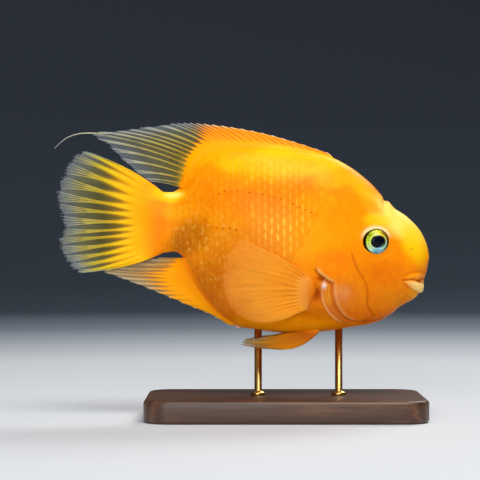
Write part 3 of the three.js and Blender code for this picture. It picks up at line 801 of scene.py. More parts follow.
def shape_nostril(relief):
    reach = np.hypot(relief.x - NOSTRIL[0], relief.z - NOSTRIL[1])
    relief.lift += NOSTRIL_RIM_HEIGHT * hump(reach - NOSTRIL_RIM_RADIUS, 0.4)
    relief.lift -= NOSTRIL_DEPTH * hump(reach, NOSTRIL_RADIUS)
    # Painted shade in the nostril
    relief.masks["painted_shade"] += 0.35 * hump(reach, 0.6)


def shape_eye_socket(relief):
    """The socket with its raised rim, the brow over it, and a painted highlight on the skin above the
    eye.
    """
    above = relief.z - EYE_CENTRE[1]
    reach = np.hypot((relief.x - EYE_CENTRE[0]) / EYE_OPENING[0], above / EYE_OPENING[1])
    rim = hump(reach - EYE_RIM_RADIUS, 0.75) * mix(0.35, 1, smooth(-4, 4, above))
    brow = hump(reach - BROW_RADIUS, 1) * smooth(-1, 6, above)
    socket = 1 - smooth(*EYE_SOCKET, reach)
    raised = relief.lift + EYE_RIM_HEIGHT * rim + BROW_HEIGHT * brow
    relief.lift = mix(raised, -EYE_SOCKET_DEPTH, socket)
    # Painted highlight on the skin above the eye
    highlight_above_eye = hump(reach - HIGHLIGHT_ABOVE_EYE_RADIUS, 0.6 + 0.07 * above) * smooth(0.5, 6, above)
    relief.masks["highlight_above_eye"] += 0.85 * highlight_above_eye


def shape_snout(relief):
    """The blunt tip of the snout, the middle of the upper lip and the chin."""
    relief.lift -= SNOUT_FLATTENING * ball(relief.places, *SNOUT_TIP)
    relief.lift += UPPER_LIP_FRONT_HEIGHT * ball(relief.places, *UPPER_LIP_FRONT)
    relief.lift += CHIN_HEIGHT * ball(relief.places, *CHIN)


def shape_mouth(relief):
    """Two lips that swell out of the face, the seam between them and the creases round them, with
    painted shade in the seam, the hollow and the creases.
    """
    front = relief.x > MOUTH_BACK_END
    places = relief.places[front]
    x, z = places[:, 0], places[:, 2]
    in_upper = within(UPPER_LIP, x, z)
    in_lower = within(LOWER_LIP, x, z)
    forward = smooth(65, 72.5, x)
    upper = mix(*UPPER_LIP_HEIGHTS, smooth(71, 74, x)) * swell(in_upper, UPPER_LIP_ROUNDING)
    lower = mix(*LOWER_LIP_HEIGHTS, forward) * swell(in_lower, mix(*LOWER_LIP_ROUNDINGS, forward))
    between = BETWEEN_LIPS_HEIGHT * ball(places, *BETWEEN_LIPS)
    to_seam, _ = distance_to(np.array(MOUTH_LINE), x, z)
    seam = hump(to_seam, MOUTH_SEAM_WIDTH)
    hollow = spot(x, z, *MOUTH_HOLLOW)
    creases = np.zeros(len(places))
    for points in (UPPER_LIP_CREASE, LOWER_LIP_CREASE):
        to_crease, share = distance_to(line_of(points), x, z)
        creases = np.maximum(creases, hump(to_crease, LIP_CREASE_WIDTH) * smooth(0, 0.2, share))
    cut = MOUTH_SEAM_DEPTH * seam + LIP_CREASE_DEPTH * creases
    cut *= mix(1, 0.3, smooth(71.5, 73.5, x))
    lips = np.maximum(np.maximum(upper, lower), between)
    relief.lift[front] += lips - MOUTH_HOLLOW_DEPTH * hollow - cut
    upper_pale = 0.08 * smooth(0.2, 1.2, in_upper)
    lower_pale = mix(0.45, 0.95, forward) * smooth(0, 1.2, in_lower)
    relief.masks["lip"][front] += np.maximum(upper_pale, lower_pale)
    # Painted shade in the seam, the hollow and the creases round the lips
    seam_shade = seam * mix(0.25, 0.65, smooth(66, 71, x))
    relief.masks["painted_shade"][front] += 0.7 * np.maximum(seam_shade, hollow) + 0.2 * creases


def skin_relief(places):
    """The whole relief of the front of the body."""
    relief = Relief(places)
    on_cover = shape_gill_cover(relief)
    shape_gill_folds(relief, on_cover)
    shape_fin_root(relief, on_cover)
    shape_grooves(relief)
    shape_nostril(relief)
    shape_eye_socket(relief)
    shape_snout(relief)
    shape_mouth(relief)
    relief.masks["painted_shade"] = np.clip(relief.masks["painted_shade"], 0, PAINTED_SHADE_LIMIT)
    return relief


# How far forward the foremost scales reach at each height, as [z, x]
SCALES_FRONT = [
    [-50, 27], [-44, 22], [-38, 16], [-30, 14.5], [-25, 15], [-19.5, 14.5], [-12, 18.5], [-5, 22],
    [10, 31], [22, 40], [34, 40],
]
SCALES_BACK_END = (-66, -59)
BARE_FIN_ROOT = (8.5, -34.5, 7.2, 9)


def behind_head(x, z):
    """How far a place seen from the side is behind the foremost scales."""
    return np.interp(z, *np.transpose(SCALES_FRONT)) - x


def scale_cover(x, z):
    """How fully scales cover the skin at a place seen from the side, from 0 where it is bare."""
    shown = smooth(0, 15, behind_head(x, z)) * smooth(*SCALES_BACK_END, x)
    root_x, root_z, half_length, half_height = BARE_FIN_ROOT
    from_fin_root = np.hypot((x - root_x) / half_length, (z - root_z) / half_height)
    back = np.array(BACK_LINE)
    below_back = np.interp(-x, -back[:, 0], back[:, 1]) - z
    return shown * smooth(0.85, 1.15, from_fin_root) * smooth(1, 7, below_back)


def plain_skin():
    """The plain body as one closed mesh, with its places and outward normals in millimetres."""
    bm = bmesh.new()
    bmesh.ops.create_uvsphere(bm, u_segments=SKIN_SIDES, v_segments=SKIN_RINGS, radius=1)
    mesh = mesh_of(bm, "fish_skin")
    sphere = places_of(mesh)
    ring = np.round(np.arccos(np.clip(sphere[:, 2], -1, 1)) / np.pi * SKIN_RINGS)
    turn = np.arctan2(sphere[:, 1], sphere[:, 0])
    along = spline(RING_SPREAD)(np.minimum(ring / (SKIN_RINGS - 1), 1))
    angle = turn - SIDE_CROWDING / 2 * np.sin(2 * turn)
    places, _, _ = body_frame(along, angle)
    is_end = ring == SKIN_RINGS
    end_x, end_z = FLANK_LINE[-1]
    places[is_end] = [end_x, 0, end_z]
    set_places(mesh, places)
    face_out(mesh)
    normals = np.empty(len(mesh.vertices) * 3)
    mesh.vertex_normals.foreach_get("vector", normals)
    return mesh, places, normals.reshape(-1, 3), is_end


def fish_skin():
    mesh, places, normals, is_end = plain_skin()
    shaped = places[:, 0] > RELIEF_BACK_END
    relief = skin_relief(places[shaped])
    lift = np.zeros(len(places))
    lift[shaped] = relief.lift
    masks = {name: np.zeros(len(places)) for name in SKIN_TINTS}
    for name, values in relief.masks.items():
        masks[name][shaped] = values
    to_vent = np.linalg.norm(places - VENT, axis=1)
    lift += VENT_HEIGHT * hump(to_vent, VENT_RADIUS)
    masks["glint"] += hump(to_vent, 2)
    lift -= SCALE_BED * scale_cover(places[:, 0], places[:, 2])
    lift[is_end] = 0
    set_places(mesh, to_world(places + normals * lift[:, None]))
    for name, values in masks.items():
        set_value(mesh, name, values)
    replaced = ["head", "torso", "tail_stalk", "gill_cover_right", "gill_cover_left"]
    show("fish_skin", mesh, skin_material(), replaced)


# Scales

SCALE_BED = 0.3
SCALE_COLUMN_PITCH = 3.3
# The distance between rows at each x, as [x, distance]
SCALE_ROW_PITCH = [[-66, 3.8], [-30, 4.8], [10, 5.8], [44, 5.4]]
SCALE_FIRST_X = 44
SCALE_LAST_X = -65.5
SCALE_LENGTH = 6
SCALE_LEAST_SIZE = 0.55
SCALE_SIZE_RANGE = (0.95, 1.05)
SCALE_OVERLAP = 1.42
SCALE_ROOT_SHARE = 0.3
SCALE_ROUNDING = 0.4
# The width of a scale at its root, and how it grows and then closes in towards the free edge
SCALE_OUTLINE = (0.75, 0.45, -0.42)
SCALE_THICKNESS = 0.05
SCALE_LIFT = 0.12
SCALE_DOME = 0.01
SCALE_ROLL = 0.02
SCALE_TURN = 0.08
ROW_END_GAP = 1.2
RING_STEEPEST_ANGLE = 1.5
SCALE_STEEPEST_ANGLE = 1.56
# Parts of the flank, each as its x and z, and its reach along x and z
REAR_FLANK = (-46, -10, 20, 24)
MID_FLANK = (2, 0, 19, 17)
UPPER_FLANK = (-6, 33, 18, 7)
BAKE_MARGIN = 0.02
BAKE_PATCH = 0.003


def run_along(line):
    """How far each point of a line is from its first point."""
    return np.concatenate([[0], np.cumsum(np.linalg.norm(np.diff(line, axis=0), axis=1))])


def scale_template():
    """A thin plate: x runs from root to free edge, y across, and z is 0 above and -1 below."""
    bm = bmesh.new()
    bmesh.ops.create_grid(bm, x_segments=4, y_segments=6, size=1)
    bmesh.ops.solidify(bm, geom=bm.faces[:], thickness=1)
    for vert in bm.verts:
        vert.co.x = (vert.co.x + 1) / 2
        vert.co.z = -1 if abs(vert.co.z) > 0.5 else 0
    return mesh_of(bm, "scale")


def scale_roots():
    """Each scale of the left side, as a row of (share along, angle, x, z, height)."""
    shares = np.linspace(0, 1, 2001)
    flank_x = flank_curve(shares)[:, 0]
    angles = np.linspace(-RING_STEEPEST_ANGLE, RING_STEEPEST_ANGLE, 301)
    rows = []
    column = 0
    x = SCALE_FIRST_X
    while x > SCALE_LAST_X:
        along = np.interp(-x, -flank_x, shares)
        ring = body_place(np.full(angles.shape, along), angles)
        run = run_along(ring)
        run -= np.interp(0, angles, run)
        half_row = 0.5 * (column % 2)
        pitch = np.interp(x, *np.transpose(SCALE_ROW_PITCH))
        first = math.ceil(run[0] / pitch)
        last = math.floor(run[-1] / pitch)
        for row in range(first, last + 1):
            level = (row + half_row) * pitch
            if not run[0] + ROW_END_GAP < level < run[-1] - ROW_END_GAP:
                continue
            angle = np.interp(level, run, angles)
            place = body_place(np.array([along]), np.array([angle]))[0]
            rows.append((along, angle, place[0], place[2], pitch * SCALE_OVERLAP))
        column += 1
        x -= SCALE_COLUMN_PITCH
    return np.array(rows)


def scales(side, sign, roots, template, material):
    count = len(roots)
    mesh = copies(template, count, "scales_" + side)
    local = places_of(mesh).reshape(count, -1, 3)
    length, across, below = local[..., 0], local[..., 1], local[..., 2]
    along, angle, x, z, height = roots.T
    cover = scale_cover(x, z)
    strength = scale_strength(x, z)
    size = mix(SCALE_LEAST_SIZE, 1, cover) * random.uniform(*SCALE_SIZE_RANGE, count)
    turn = random.normal(0, SCALE_TURN, count)
    rounded = length - SCALE_ROUNDING * across**2 * length**2
    root_width, growth, closing = SCALE_OUTLINE
    spread = across * (root_width + growth * length + closing * length**3)
    forward = (rounded - SCALE_ROOT_SHARE) * SCALE_LENGTH * size[:, None]
    upward = spread * (height * size)[:, None] / 2
    cos, sin = np.cos(turn)[:, None], np.sin(turn)[:, None]
    forward, upward = forward * cos - upward * sin, forward * sin + upward * cos
    _, _, (per_along, per_angle) = body_frame(along, angle)
    at_along = np.clip(along[:, None] + forward / per_along[:, None], 0, 1)
    at_angle = angle[:, None] + upward / per_angle[:, None]
    at_angle = np.clip(at_angle, -SCALE_STEEPEST_ANGLE, SCALE_STEEPEST_ANGLE)
    place, normal, _ = body_frame(at_along, at_angle)
    rise = SCALE_LIFT * mix(0.15, 1, strength[:, None]) * length**1.3
    rise = rise + SCALE_DOME * (1 - across**2) + SCALE_ROLL * across + below * SCALE_THICKNESS
    rise = rise * cover[:, None] - SCALE_BED * (1 - cover[:, None])
    rise -= SCALE_BED * scale_cover(place[..., 0], place[..., 2])
    place = place + normal * rise[..., None]
    place[..., 1] *= sign
    set_places(mesh, to_world(place.reshape(-1, 3)))
    everywhere = np.ones_like(length)
    set_value(mesh, "edge", length)
    set_value(mesh, "bend", rounded)
    set_value(mesh, "middle", 1 - across**2)
    set_value(mesh, "strength", everywhere * (strength * cover)[:, None])
    set_value(mesh, "tone", everywhere * random.uniform(0, 1, count)[:, None])
    set_value(mesh, "speckled", everywhere * (rear_flank(x, z) * cover)[:, None])
    first_u = 0.5 * (sign > 0) + BAKE_MARGIN
    home_u = first_u + (0.5 - 2 * BAKE_MARGIN) * along[:, None]
    home_v = BAKE_MARGIN + (1 - 2 * BAKE_MARGIN) * (angle[:, None] / np.pi + 0.5)
    patch = np.stack([home_u + (length - 0.5) * BAKE_PATCH, home_v + across * BAKE_PATCH / 2], -1)
    set_map(mesh, "OFBake", patch.reshape(-1, 2))
    show("scales_" + side, mesh, material, crisp_rims=True)


def rear_flank(x, z):
    """How near a place is to the brown, speckled part of the flank in front of the tail."""
    return spot(x, z, *REAR_FLANK)


def scale_strength(x, z):
    """How clearly the scales show: strongest on the flank behind the gill cover."""
    middle = 0.9 * spot(x, z, *MID_FLANK)
    shown = 0.1 + middle + 0.6 * spot(x, z, *UPPER_FLANK) + 0.15 * rear_flank(x, z)
    shown = np.clip(shown, 0, 1)
    return shown * smooth(0, 22, behind_head(x, z))


def all_scales():
    material = scale_material()
    template = scale_template()
    roots = scale_roots()
    x, z = roots[:, 2], roots[:, 3]
    roots = roots[scale_cover(x, z) > 0.5]
    for side, sign in SIDES.items():
        scales(side, sign, roots, template, material)


# Lateral line: a row of small dark pores high on the flank and another along the tail

PORE_LINES = [
    [
        [16.2, 9.2], [9.2, 12.1], [3.2, 15.1], [-7, 18.7], [-14, 20], [-21.1, 21.1],
        [-30.2, 22.1], [-34.6, 20.8], [-40.5, 17.3],
    ],
    [[-20, -0.4], [-23.8, 1.1], [-35.1, 2.2], [-42.7, 3.2], [-50.8, 4.3], [-56.7, 5.4]],
]
PORE_PITCH = 3.4
PORE_HALF_SIZE = (0.9, 0.4, 0.1)
PORE_SIZE_RANGE = (0.4, 1.1)
PORE_SUNK = 0.08
PORE_COLOUR = (224, 110, 0)


def pore_places():
    """The places of the pores seen from the side, as rows of [x, z]."""
    found = []
    for points in PORE_LINES:
        line = line_of(points, 200)
        run = run_along(line)
        stops = np.arange(0, run[-1], PORE_PITCH)
        found.append(np.stack([np.interp(stops, run, places) for places in line.T], 1))
    return np.concatenate(found)


def pores():
    material, _, _ = new_material(
        "pore", Base_Color=colour(*PORE_COLOUR), Roughness=0.5, Specular_IOR_Level=0.05,
    )
    bm = bmesh.new()
    bmesh.ops.create_uvsphere(bm, u_segments=8, v_segments=5, radius=1)
    template = mesh_of(bm, "pore")
    places = pore_places()
    along, angle, _ = np.array([on_side(x, z) for x, z in places]).T
    for side, sign in SIDES.items():
        mesh = copies(template, len(places), "pores_" + side)
        local = places_of(mesh).reshape(len(places), -1, 3) * PORE_HALF_SIZE
        _, _, (per_along, per_angle) = body_frame(along, angle)
        size = random.uniform(*PORE_SIZE_RANGE, (len(places), 1))
        at_along = along[:, None] + local[..., 0] * size / per_along[:, None]
        at_angle = angle[:, None] + local[..., 1] * size / per_angle[:, None]
        place, normal, _ = body_frame(at_along, at_angle)
        place = place + normal * (local[..., 2] - PORE_SUNK)[..., None]
        place[..., 1] *= sign
        set_places(mesh, to_world(place.reshape(-1, 3)))
        show("pores_" + side, mesh, material)


# Eyes

# Across and up are shares of the eye's radius, and colours go round the iris by the share of a turn
# from behind through below, ahead and above
IRIS_COLOURS = [
    (0.0, (200, 228, 60)), (0.08, (215, 245, 150)), (0.15, (196, 246, 222)),
    (0.22, (96, 180, 206)), (0.29, (140, 196, 240)), (0.36, (140, 190, 170)),
    (0.43, (56, 92, 46)), (0.52, (50, 62, 30)), (0.59, (120, 96, 10)), (0.65, (184, 128, 10)),
    (0.72, (240, 222, 30)), (0.8, (210, 210, 60)), (0.88, (150, 162, 12)), (1.0, (200, 228, 60)),
]
INNER_RING_COLOURS = [
    (0.0, (236, 246, 70)), (0.1, (222, 250, 170)), (0.2, (150, 216, 210)),
    (0.28, (170, 226, 240)), (0.37, (204, 255, 222)), (0.48, (206, 232, 200)),
    (0.55, (200, 212, 120)), (0.62, (226, 226, 50)), (0.75, (220, 232, 150)),
    (0.85, (240, 250, 90)), (1.0, (236, 246, 70)),
]
IRIS_STREAKS = (50, 60, 12)
DARK_EDGE = (12, 10, 8)
DARK_EDGE_RADIUS = 0.79
PUPIL = (4, 8, 24)
PUPIL_EDGE = (0.43, 0.46)
PUPIL_SET_BACK = 0.09
PUPIL_CORNER = (0.94, 0.28, 0)
PUPIL_CORNER_LENGTH = 0.45
INNER_RING_RADIUS = 0.52
INNER_RING_AHEAD = 0.14
LENS_HEIGHT = 0.32
LENS_EDGE = (0.38, 0.47)
PUPIL_RIM_RADIUS = 0.53
PUPIL_RIM_WIDTH = 0.04
PUPIL_RIM_HEIGHT = 0.12


def iris_shade(tree, place, across, up, reach):
    """The iris: colours round the eye with dark streaks, a bright inner ring and a dark edge."""
    angle = maths(tree, "ARCTAN2", up, across)
    turn = maths(tree, "MULTIPLY_ADD", angle, 1 / (2 * math.pi), 0.5)
    streaks = stretch(tree, noise(tree, place, 7, 5).outputs["Fac"], 0.45, 0.65, 0.0, 0.6)
    shade = blend(tree, streaks, ramp(tree, turn, IRIS_COLOURS), colour(*IRIS_STREAKS))
    ahead = maths(tree, "MAXIMUM", maths(tree, "DIVIDE", across, reach), 0.0)
    ring_radius = maths(tree, "MULTIPLY_ADD", ahead, INNER_RING_AHEAD, INNER_RING_RADIUS)
    from_ring = maths(tree, "ABSOLUTE", maths(tree, "SUBTRACT", reach, ring_radius))
    ring = stretch(tree, from_ring, 0.025, 0.07, 0.95, 0.0)
    shade = blend(tree, ring, shade, ramp(tree, turn, INNER_RING_COLOURS))
    edge = maths(tree, "MULTIPLY_ADD", maths(tree, "ABSOLUTE", up), 0.05, DARK_EDGE_RADIUS)
    past_edge = stretch(tree, maths(tree, "SUBTRACT", reach, edge), 0.0, 0.06)
    return blend(tree, past_edge, shade, colour(*DARK_EDGE))


def pupil_mask(tree, place):
    """The pupil, set back a little and drawn out to a corner ahead."""
    shift = {0: place, 1: (PUPIL_SET_BACK, 0, 0)}
    behind = node(tree, "VectorMath", shift, operation="ADD").outputs[0]
    corner = node(tree, "VectorMath", {0: behind, 1: PUPIL_CORNER}, operation="DOT_PRODUCT")
    forward = maths(tree, "MAXIMUM", corner.outputs["Value"], 0.0)
    from_middle = node(tree, "VectorMath", {0: behind}, operation="LENGTH").outputs["Value"]
    drawn_out = maths(tree, "POWER", forward, 2.0)
    reach = maths(tree, "MULTIPLY_ADD", drawn_out, -PUPIL_CORNER_LENGTH, from_middle)
    return stretch(tree, reach, *PUPIL_EDGE, 1.0, 0.0)


def eye_material():
    material, tree, shader = new_material(
        "eye", Roughness=0.3, Specular_IOR_Level=0.1, Coat_Weight=0.12, Coat_Roughness=0.03,
    )
    place = node(tree, "UVMap", uv_map="disc").outputs[0]
    parts = node(tree, "SeparateXYZ", {0: place})
    reach = node(tree, "VectorMath", {0: place}, operation="LENGTH").outputs["Value"]
    iris = iris_shade(tree, place, parts.outputs[0], parts.outputs[1], reach)
    shade = blend(tree, pupil_mask(tree, place), iris, colour(*PUPIL))
    tree.links.new(shade, shader.inputs["Base Color"])
    return material


def eyeball(side, sign, material):
    """A flattened ball turned a little forwards, with a raised lens and a fine rim round the pupil."""
    bm = bmesh.new()
    bmesh.ops.create_uvsphere(bm, u_segments=72, v_segments=54, radius=1)
    mesh = mesh_of(bm, "eyeball_" + side)
    sphere = places_of(mesh)
    disc = sphere[:, :2]
    depth = sphere[:, 2]
    reach = np.hypot(disc[:, 0], disc[:, 1])
    lens = LENS_HEIGHT * (1 - smooth(*LENS_EDGE, reach))
    rim = PUPIL_RIM_HEIGHT * hump(reach - PUPIL_RIM_RADIUS, PUPIL_RIM_WIDTH)
    outwards = depth * EYE_HALF_DEPTH + np.where(depth > 0, lens + rim, 0)
    ahead = disc[:, 0] * EYE_RADIUS
    cos, sin = math.cos(EYE_TURN), math.sin(EYE_TURN)
    _, _, skin_y = on_side(*EYE_CENTRE)
    x = EYE_CENTRE[0] + ahead * cos + outwards * sin
    y = sign * (skin_y - EYE_SUNK - ahead * sin + outwards * cos)
    z = EYE_CENTRE[1] + disc[:, 1] * EYE_RADIUS
    set_places(mesh, to_world(np.stack([x, y, z], 1)))
    set_map(mesh, "disc", disc)
    show("eyeball_" + side, mesh, material, ["eye_" + side])


# Fins

# Roots and tips of matching rays are [x, z], and rays are numbered along the tips: spines stay
# single, and soft rays split at each fork. Flesh is how far the sleeve over the rays' roots reaches,
# as a share of the ray, from the first tip to the last. Colours run from root to edge, and those of
# the film and of the rays end with how much they hide
FIN_COMMON = {
    "lean": 0, "forks": [(0.5, 0.6), (0.75, 0.85)], "ray_reach": 1, "flare": 0,
    "furrows": (0.2, 0.65), "pale_streaks": 0.2, "joints": 0.14, "ridged": 2, "sleeve": 1,
}

DORSAL = FIN_COMMON | {
    "roots": [
        [28.5, 39], [16, 42.3], [2, 44.9], [-12, 46.3], [-25, 46.5], [-32, 46], [-38, 45],
        [-43, 43], [-46.6, 40.6], [-49.4, 37.6], [-51.3, 34.4], [-53.1, 31], [-54.6, 27.8],
        [-56.5, 24.2],
    ],
    "tips": [
        [26.5, 41.5], [8, 47.6], [-10, 52.8], [-28, 56.4], [-44, 58.4], [-56, 58.9],
        [-67, 57.8], [-82, 55.8], [-93, 54.5], [-105, 53.3], [-96.5, 47.5], [-88.5, 39.5],
        [-78.5, 31], [-73, 27.3],
    ],
    "arch": [0.04, 0.04],
    "spines": list(np.linspace(0.3, 5.5, 18)),
    "soft_rays": [6, 6.6, 7.2, 7.8, 8.4, 9, 9.7, 10.4, 11.1, 11.8, 12.5, 13],
    "fan": 0.26,
    "ray_width": [0.13],
    "flesh": [1.4, 1.4, 1.4, 1.25, 1, 0.6, 0.3, 0.17, 0.11, 0.08, 0.07, 0.06, 0.06, 0.06],
    "root_half": [0.6, 1.5, 1.5, 1.5, 1.5],
    "flare": 6,
    "blend": 0.3,
    "sleeve_colours": [
        (0, (255, 170, 0)), (0.25, (255, 162, 0)), (0.6, (254, 150, 0)), (0.86, (252, 158, 16)),
        (0.94, (248, 196, 110)), (1, (252, 228, 200)),
    ],
    "groove": 0.85,
    "furrows": (-0.1, 0.35),
    "pale_streaks": 0.5,
    "ray_colours": [
        (0, (255, 190, 0), 1), (0.22, (240, 196, 30), 1), (0.5, (226, 204, 104), 1),
        (0.8, (214, 208, 168), 0.95), (1, (200, 202, 196), 0.8),
    ],
    "film_colours": [
        (0, (220, 170, 20), 0.8), (0.16, (120, 108, 36), 0.42), (0.6, (112, 112, 84), 0.36),
        (1, (130, 140, 150), 0.26),
    ],
}
CAUDAL = FIN_COMMON | {
    "roots": [[-66, 21.6], [-66, 13.5], [-66, 5.3], [-66, -3], [-66, -11.2]],
    "tips": [
        [-103, 41.5], [-108.5, 43.8], [-115, 40.5], [-120.5, 31], [-124, 20], [-122, 11],
        [-120, 1.5], [-122.5, -4.5], [-120.5, -12], [-116.5, -18], [-111.5, -22], [-101, -20.6],
    ],
    "arch": [0.05, -0.05],
    "spines": [0, 11],
    "soft_rays": list(np.linspace(0.45, 10.6, 15)),
    "forks": [(0.3, 0.38), (0.52, 0.6), (0.72, 0.8)],
    "fan": 0.46,
    "ray_width": [0.22, 0.2, 0.22, 0.25, 0.3, 0.32, 0.3],
    "flesh": [0.9, 0.84, 0.68, 0.54, 0.47, 0.45, 0.44, 0.46, 0.52, 0.64, 0.8, 0.95],
    "root_half": [3.2, 3.2],
    "rounded_root": True,
    "blend": 0.25,
    "sleeve_colours": [
        (0, (255, 142, 0)), (0.2, (255, 170, 6)), (0.36, (250, 194, 10)), (0.8, (216, 192, 20)),
        (1, (180, 180, 110)),
    ],
    "groove": 0.5,
    "furrows": (0.12, 0.45),
    "pale_streaks": 0.3,
    "sleeve": 0.85,
    "ray_colours": [
        (0, (255, 146, 0), 1), (0.32, (254, 194, 0), 1), (0.6, (250, 212, 20), 1),
        (0.78, (226, 206, 80), 0.9), (0.9, (196, 194, 150), 0.75), (1, (170, 180, 186), 0.5),
    ],
    "film_colours": [
        (0, (240, 170, 0), 0.9), (0.38, (140, 110, 8), 0.55), (0.6, (96, 88, 24), 0.45),
        (0.8, (130, 126, 80), 0.3), (1, (150, 160, 170), 0.14),
    ],
}
ANAL = FIN_COMMON | {
    "roots": [
        [-25, -51], [-32.5, -46], [-39, -40.5], [-44, -34], [-47, -29.5], [-49, -26],
        [-51, -22.5], [-52.5, -19.5], [-53.8, -16.5], [-55, -14],
    ],
    "tips": [
        [-29, -51], [-40, -44.4], [-52, -39.6], [-65, -34.2], [-76, -29.8], [-88, -25.2],
        [-99.5, -20.8], [-92, -19.4], [-80, -16.6], [-68, -13.8],
    ],
    "arch": [-0.02, -0.02],
    "lean": 2.4,
    "spines": [0.3, 0.8, 1.3, 1.8, 2.3, 2.8],
    "soft_rays": [3.3, 3.9, 4.5, 5.1, 5.7, 6.2, 7, 7.8, 8.5, 9],
    "fan": 0.3,
    "ray_width": [0.18],
    "flesh": [1.4, 1.4, 1.3, 1, 0.76, 0.56, 0.42, 0.33, 0.26, 0.22],
    "root_half": [1.6, 1.6],
    "flare": 3,
    "blend": 0.03,
    "sleeve_colours": [(0, (244, 142, 0)), (0.3, (255, 160, 0)), (1, (252, 172, 20))],
    "groove": 0.3,
    "ray_colours": [
        (0, (255, 160, 0), 1), (0.4, (250, 180, 46), 1), (0.65, (240, 204, 120), 1),
        (1, (220, 206, 170), 0.85),
    ],
    "film_colours": [
        (0, (244, 152, 10), 0.9), (0.45, (190, 136, 60), 0.55), (1, (176, 160, 128), 0.38),
    ],
}
PECTORAL = FIN_COMMON | {
    "roots": [[15, -26.3], [13.8, -33.3], [12, -40.4]],
    "tips": [
        [-26, -3], [-30.5, -9], [-34, -15], [-35, -22.5], [-34.5, -30], [-32, -37.5],
        [-28, -43], [-22, -46.2], [-15, -48.3], [-7, -48], [-0.5, -46], [4, -43.5],
    ],
    "arch": [0.04, -0.04],
    "sunk": [0.9, 1.55, 1.0],
    "spread": [5, 3],
    "spines": [0],
    "soft_rays": list(np.linspace(0.7, 11, 14)),
    "forks": [(0.5, 0.6), (0.74, 0.84)],
    "fan": 0.3,
    "ray_reach": 0.6,
    "ray_width": [0.24],
    "flesh": [0.12, 0.18, 0.22, 0.24, 0.25, 0.26, 0.27, 0.29, 0.31, 0.34, 0.4, 0.5],
    "root_half": [1.4, 1.8, 0.7],
    "blend": 0.09,
    # The sleeve is darker at its root: painted shade where the fin meets the body
    "sleeve_colours": [
        (0, (216, 118, 20)), (0.05, (228, 138, 48)), (0.13, (238, 148, 54)),
        (0.24, (248, 158, 40)), (1, (252, 166, 42)),
    ],
    "groove": 0.7,
    "pale_streaks": 0,
    "joints": 0.03,
    "ridged": 0.55,
    "ray_colours": [
        (0, (250, 160, 48), 1), (0.3, (255, 174, 56), 1), (0.6, (254, 162, 48), 1),
        (1, (254, 162, 48), 1),
    ],
    "film_colours": [
        (0, (246, 130, 16), 0.95), (0.4, (255, 158, 34), 0.8), (0.65, (255, 170, 50), 0.55),
        (0.85, (255, 168, 56), 0.3), (0.95, (255, 170, 70), 0.12), (1, (255, 170, 70), 0),
    ],
}
PELVIC = FIN_COMMON | {
    "roots": [[19, -52.5], [16, -53], [12, -53.2]],
    "tips": [
        [-12, -61.2], [-24, -60], [-21, -58.2], [-17, -57.2], [-13.5, -56.6], [-8, -56.2],
    ],
    "arch": [-0.16, -0.04, 0],
    "root_y": 6,
    "spread": [7, 2],
    "spines": [0],
    "soft_rays": [0.9, 1.9, 2.9, 3.9, 5],
    "forks": [(0.55, 0.62), (0.76, 0.84)],
    "fan": 0.34,
    "ray_width": [0.2],
    "flesh": [0.95, 0.9, 0.85, 0.85, 0.9, 1],
    "root_half": [1.3, 1.3],
    "blend": 0.2,
    "sleeve_colours": [(0, (178, 80, 0)), (0.5, (206, 122, 2)), (1, (190, 144, 40))],
    "groove": 0.3,
    "ray_colours": [(0, (226, 140, 0), 1), (0.6, (216, 150, 20), 1), (1, (160, 150, 110), 0.8)],
    "film_colours": [
        (0, (216, 124, 0), 1), (0.6, (196, 134, 16), 0.85), (1, (150, 144, 120), 0.4),
    ],
}
GROOVE = (226, 112, 0)
GROOVE_STREAK = (255, 208, 90)
RAY_JOINT = (255, 246, 206)
RAY_JOINT_BANDS = 18.0
REACH_WANDER = 0.16
FILAMENT = [
    [-94, 0, 53.2], [-104, 0, 53.6], [-112, 0, 53.2], [-119, 0, 50.6], [-125, 0, 45.4],
]
FILAMENT_RADIUS = 0.36
FILAMENT_TUBES = 5
TUBE_SIDES = 6
TUBE_CUTS = 7
FILM_HALF = 0.06
FILM_EDGE_THINNING = 0.4
FILM_NOTCH = 0.03
FILM_RAGGED = 0.012
RIDGE_HEIGHT = 0.22
COLUMNS_PER_RAY = 8
FIN_ROWS = 60
ROOT_DEPTH = 2.6
ROOT_SPREAD = 4.5
SUNK_ROOT_SLOPE = 45
# How much of the body's half width a flared root may fill
FLARE_ROOM = 0.8
RAY_HALF_AT_ROOT = 0.2
RAY_HALF_AT_TIP = 0.07
RAY_MOST_HALF_WIDTH = 1
RAY_LEAST_HALF_WIDTH = 0.07
# Where the branches of a split ray end, and how wide each branch is next to its parent
BRANCH_ENDS = (0.955, 1.01)
BRANCH_WIDTH = 0.53
BRANCH_OVERLAP = 0.015


def along_list(values, ray):
    return np.interp(ray, np.linspace(0, 1, len(values)), values)


def fin_sideways(fin, ray, share):
    """How far a place on a fin is from the middle plane."""
    outward = np.maximum(share, 0)
    if "sunk" in fin:
        knots = np.linspace(0, 1, 15)
        skin = [on_side(*place)[2] for place in spline(fin["roots"])(knots)]
        root = np.interp(ray, knots, skin) - along_list(fin["sunk"], ray)
        buried = SUNK_ROOT_SLOPE * np.minimum(share, 0)
        return root + along_list(fin["spread"], ray) * np.sqrt(outward) + buried
    if "root_y" in fin:
        return fin["root_y"] + along_list(fin["spread"], ray) * outward
    return fin["lean"] * ray * outward


def fin_place(fin, ray, share):
    """The middle of a fin at a place along its row of rays and a share of the way out."""
    root, tip = spline(fin["roots"])(ray), spline(fin["tips"])(ray)
    run = tip - root
    bow = along_list(fin["arch"], ray) * 4 * share * (1 - share)
    x = root[..., 0] + run[..., 0] * share + run[..., 1] * bow
    z = root[..., 1] + run[..., 1] * share - run[..., 0] * bow
    return np.stack([x, fin_sideways(fin, ray, share), z], -1)


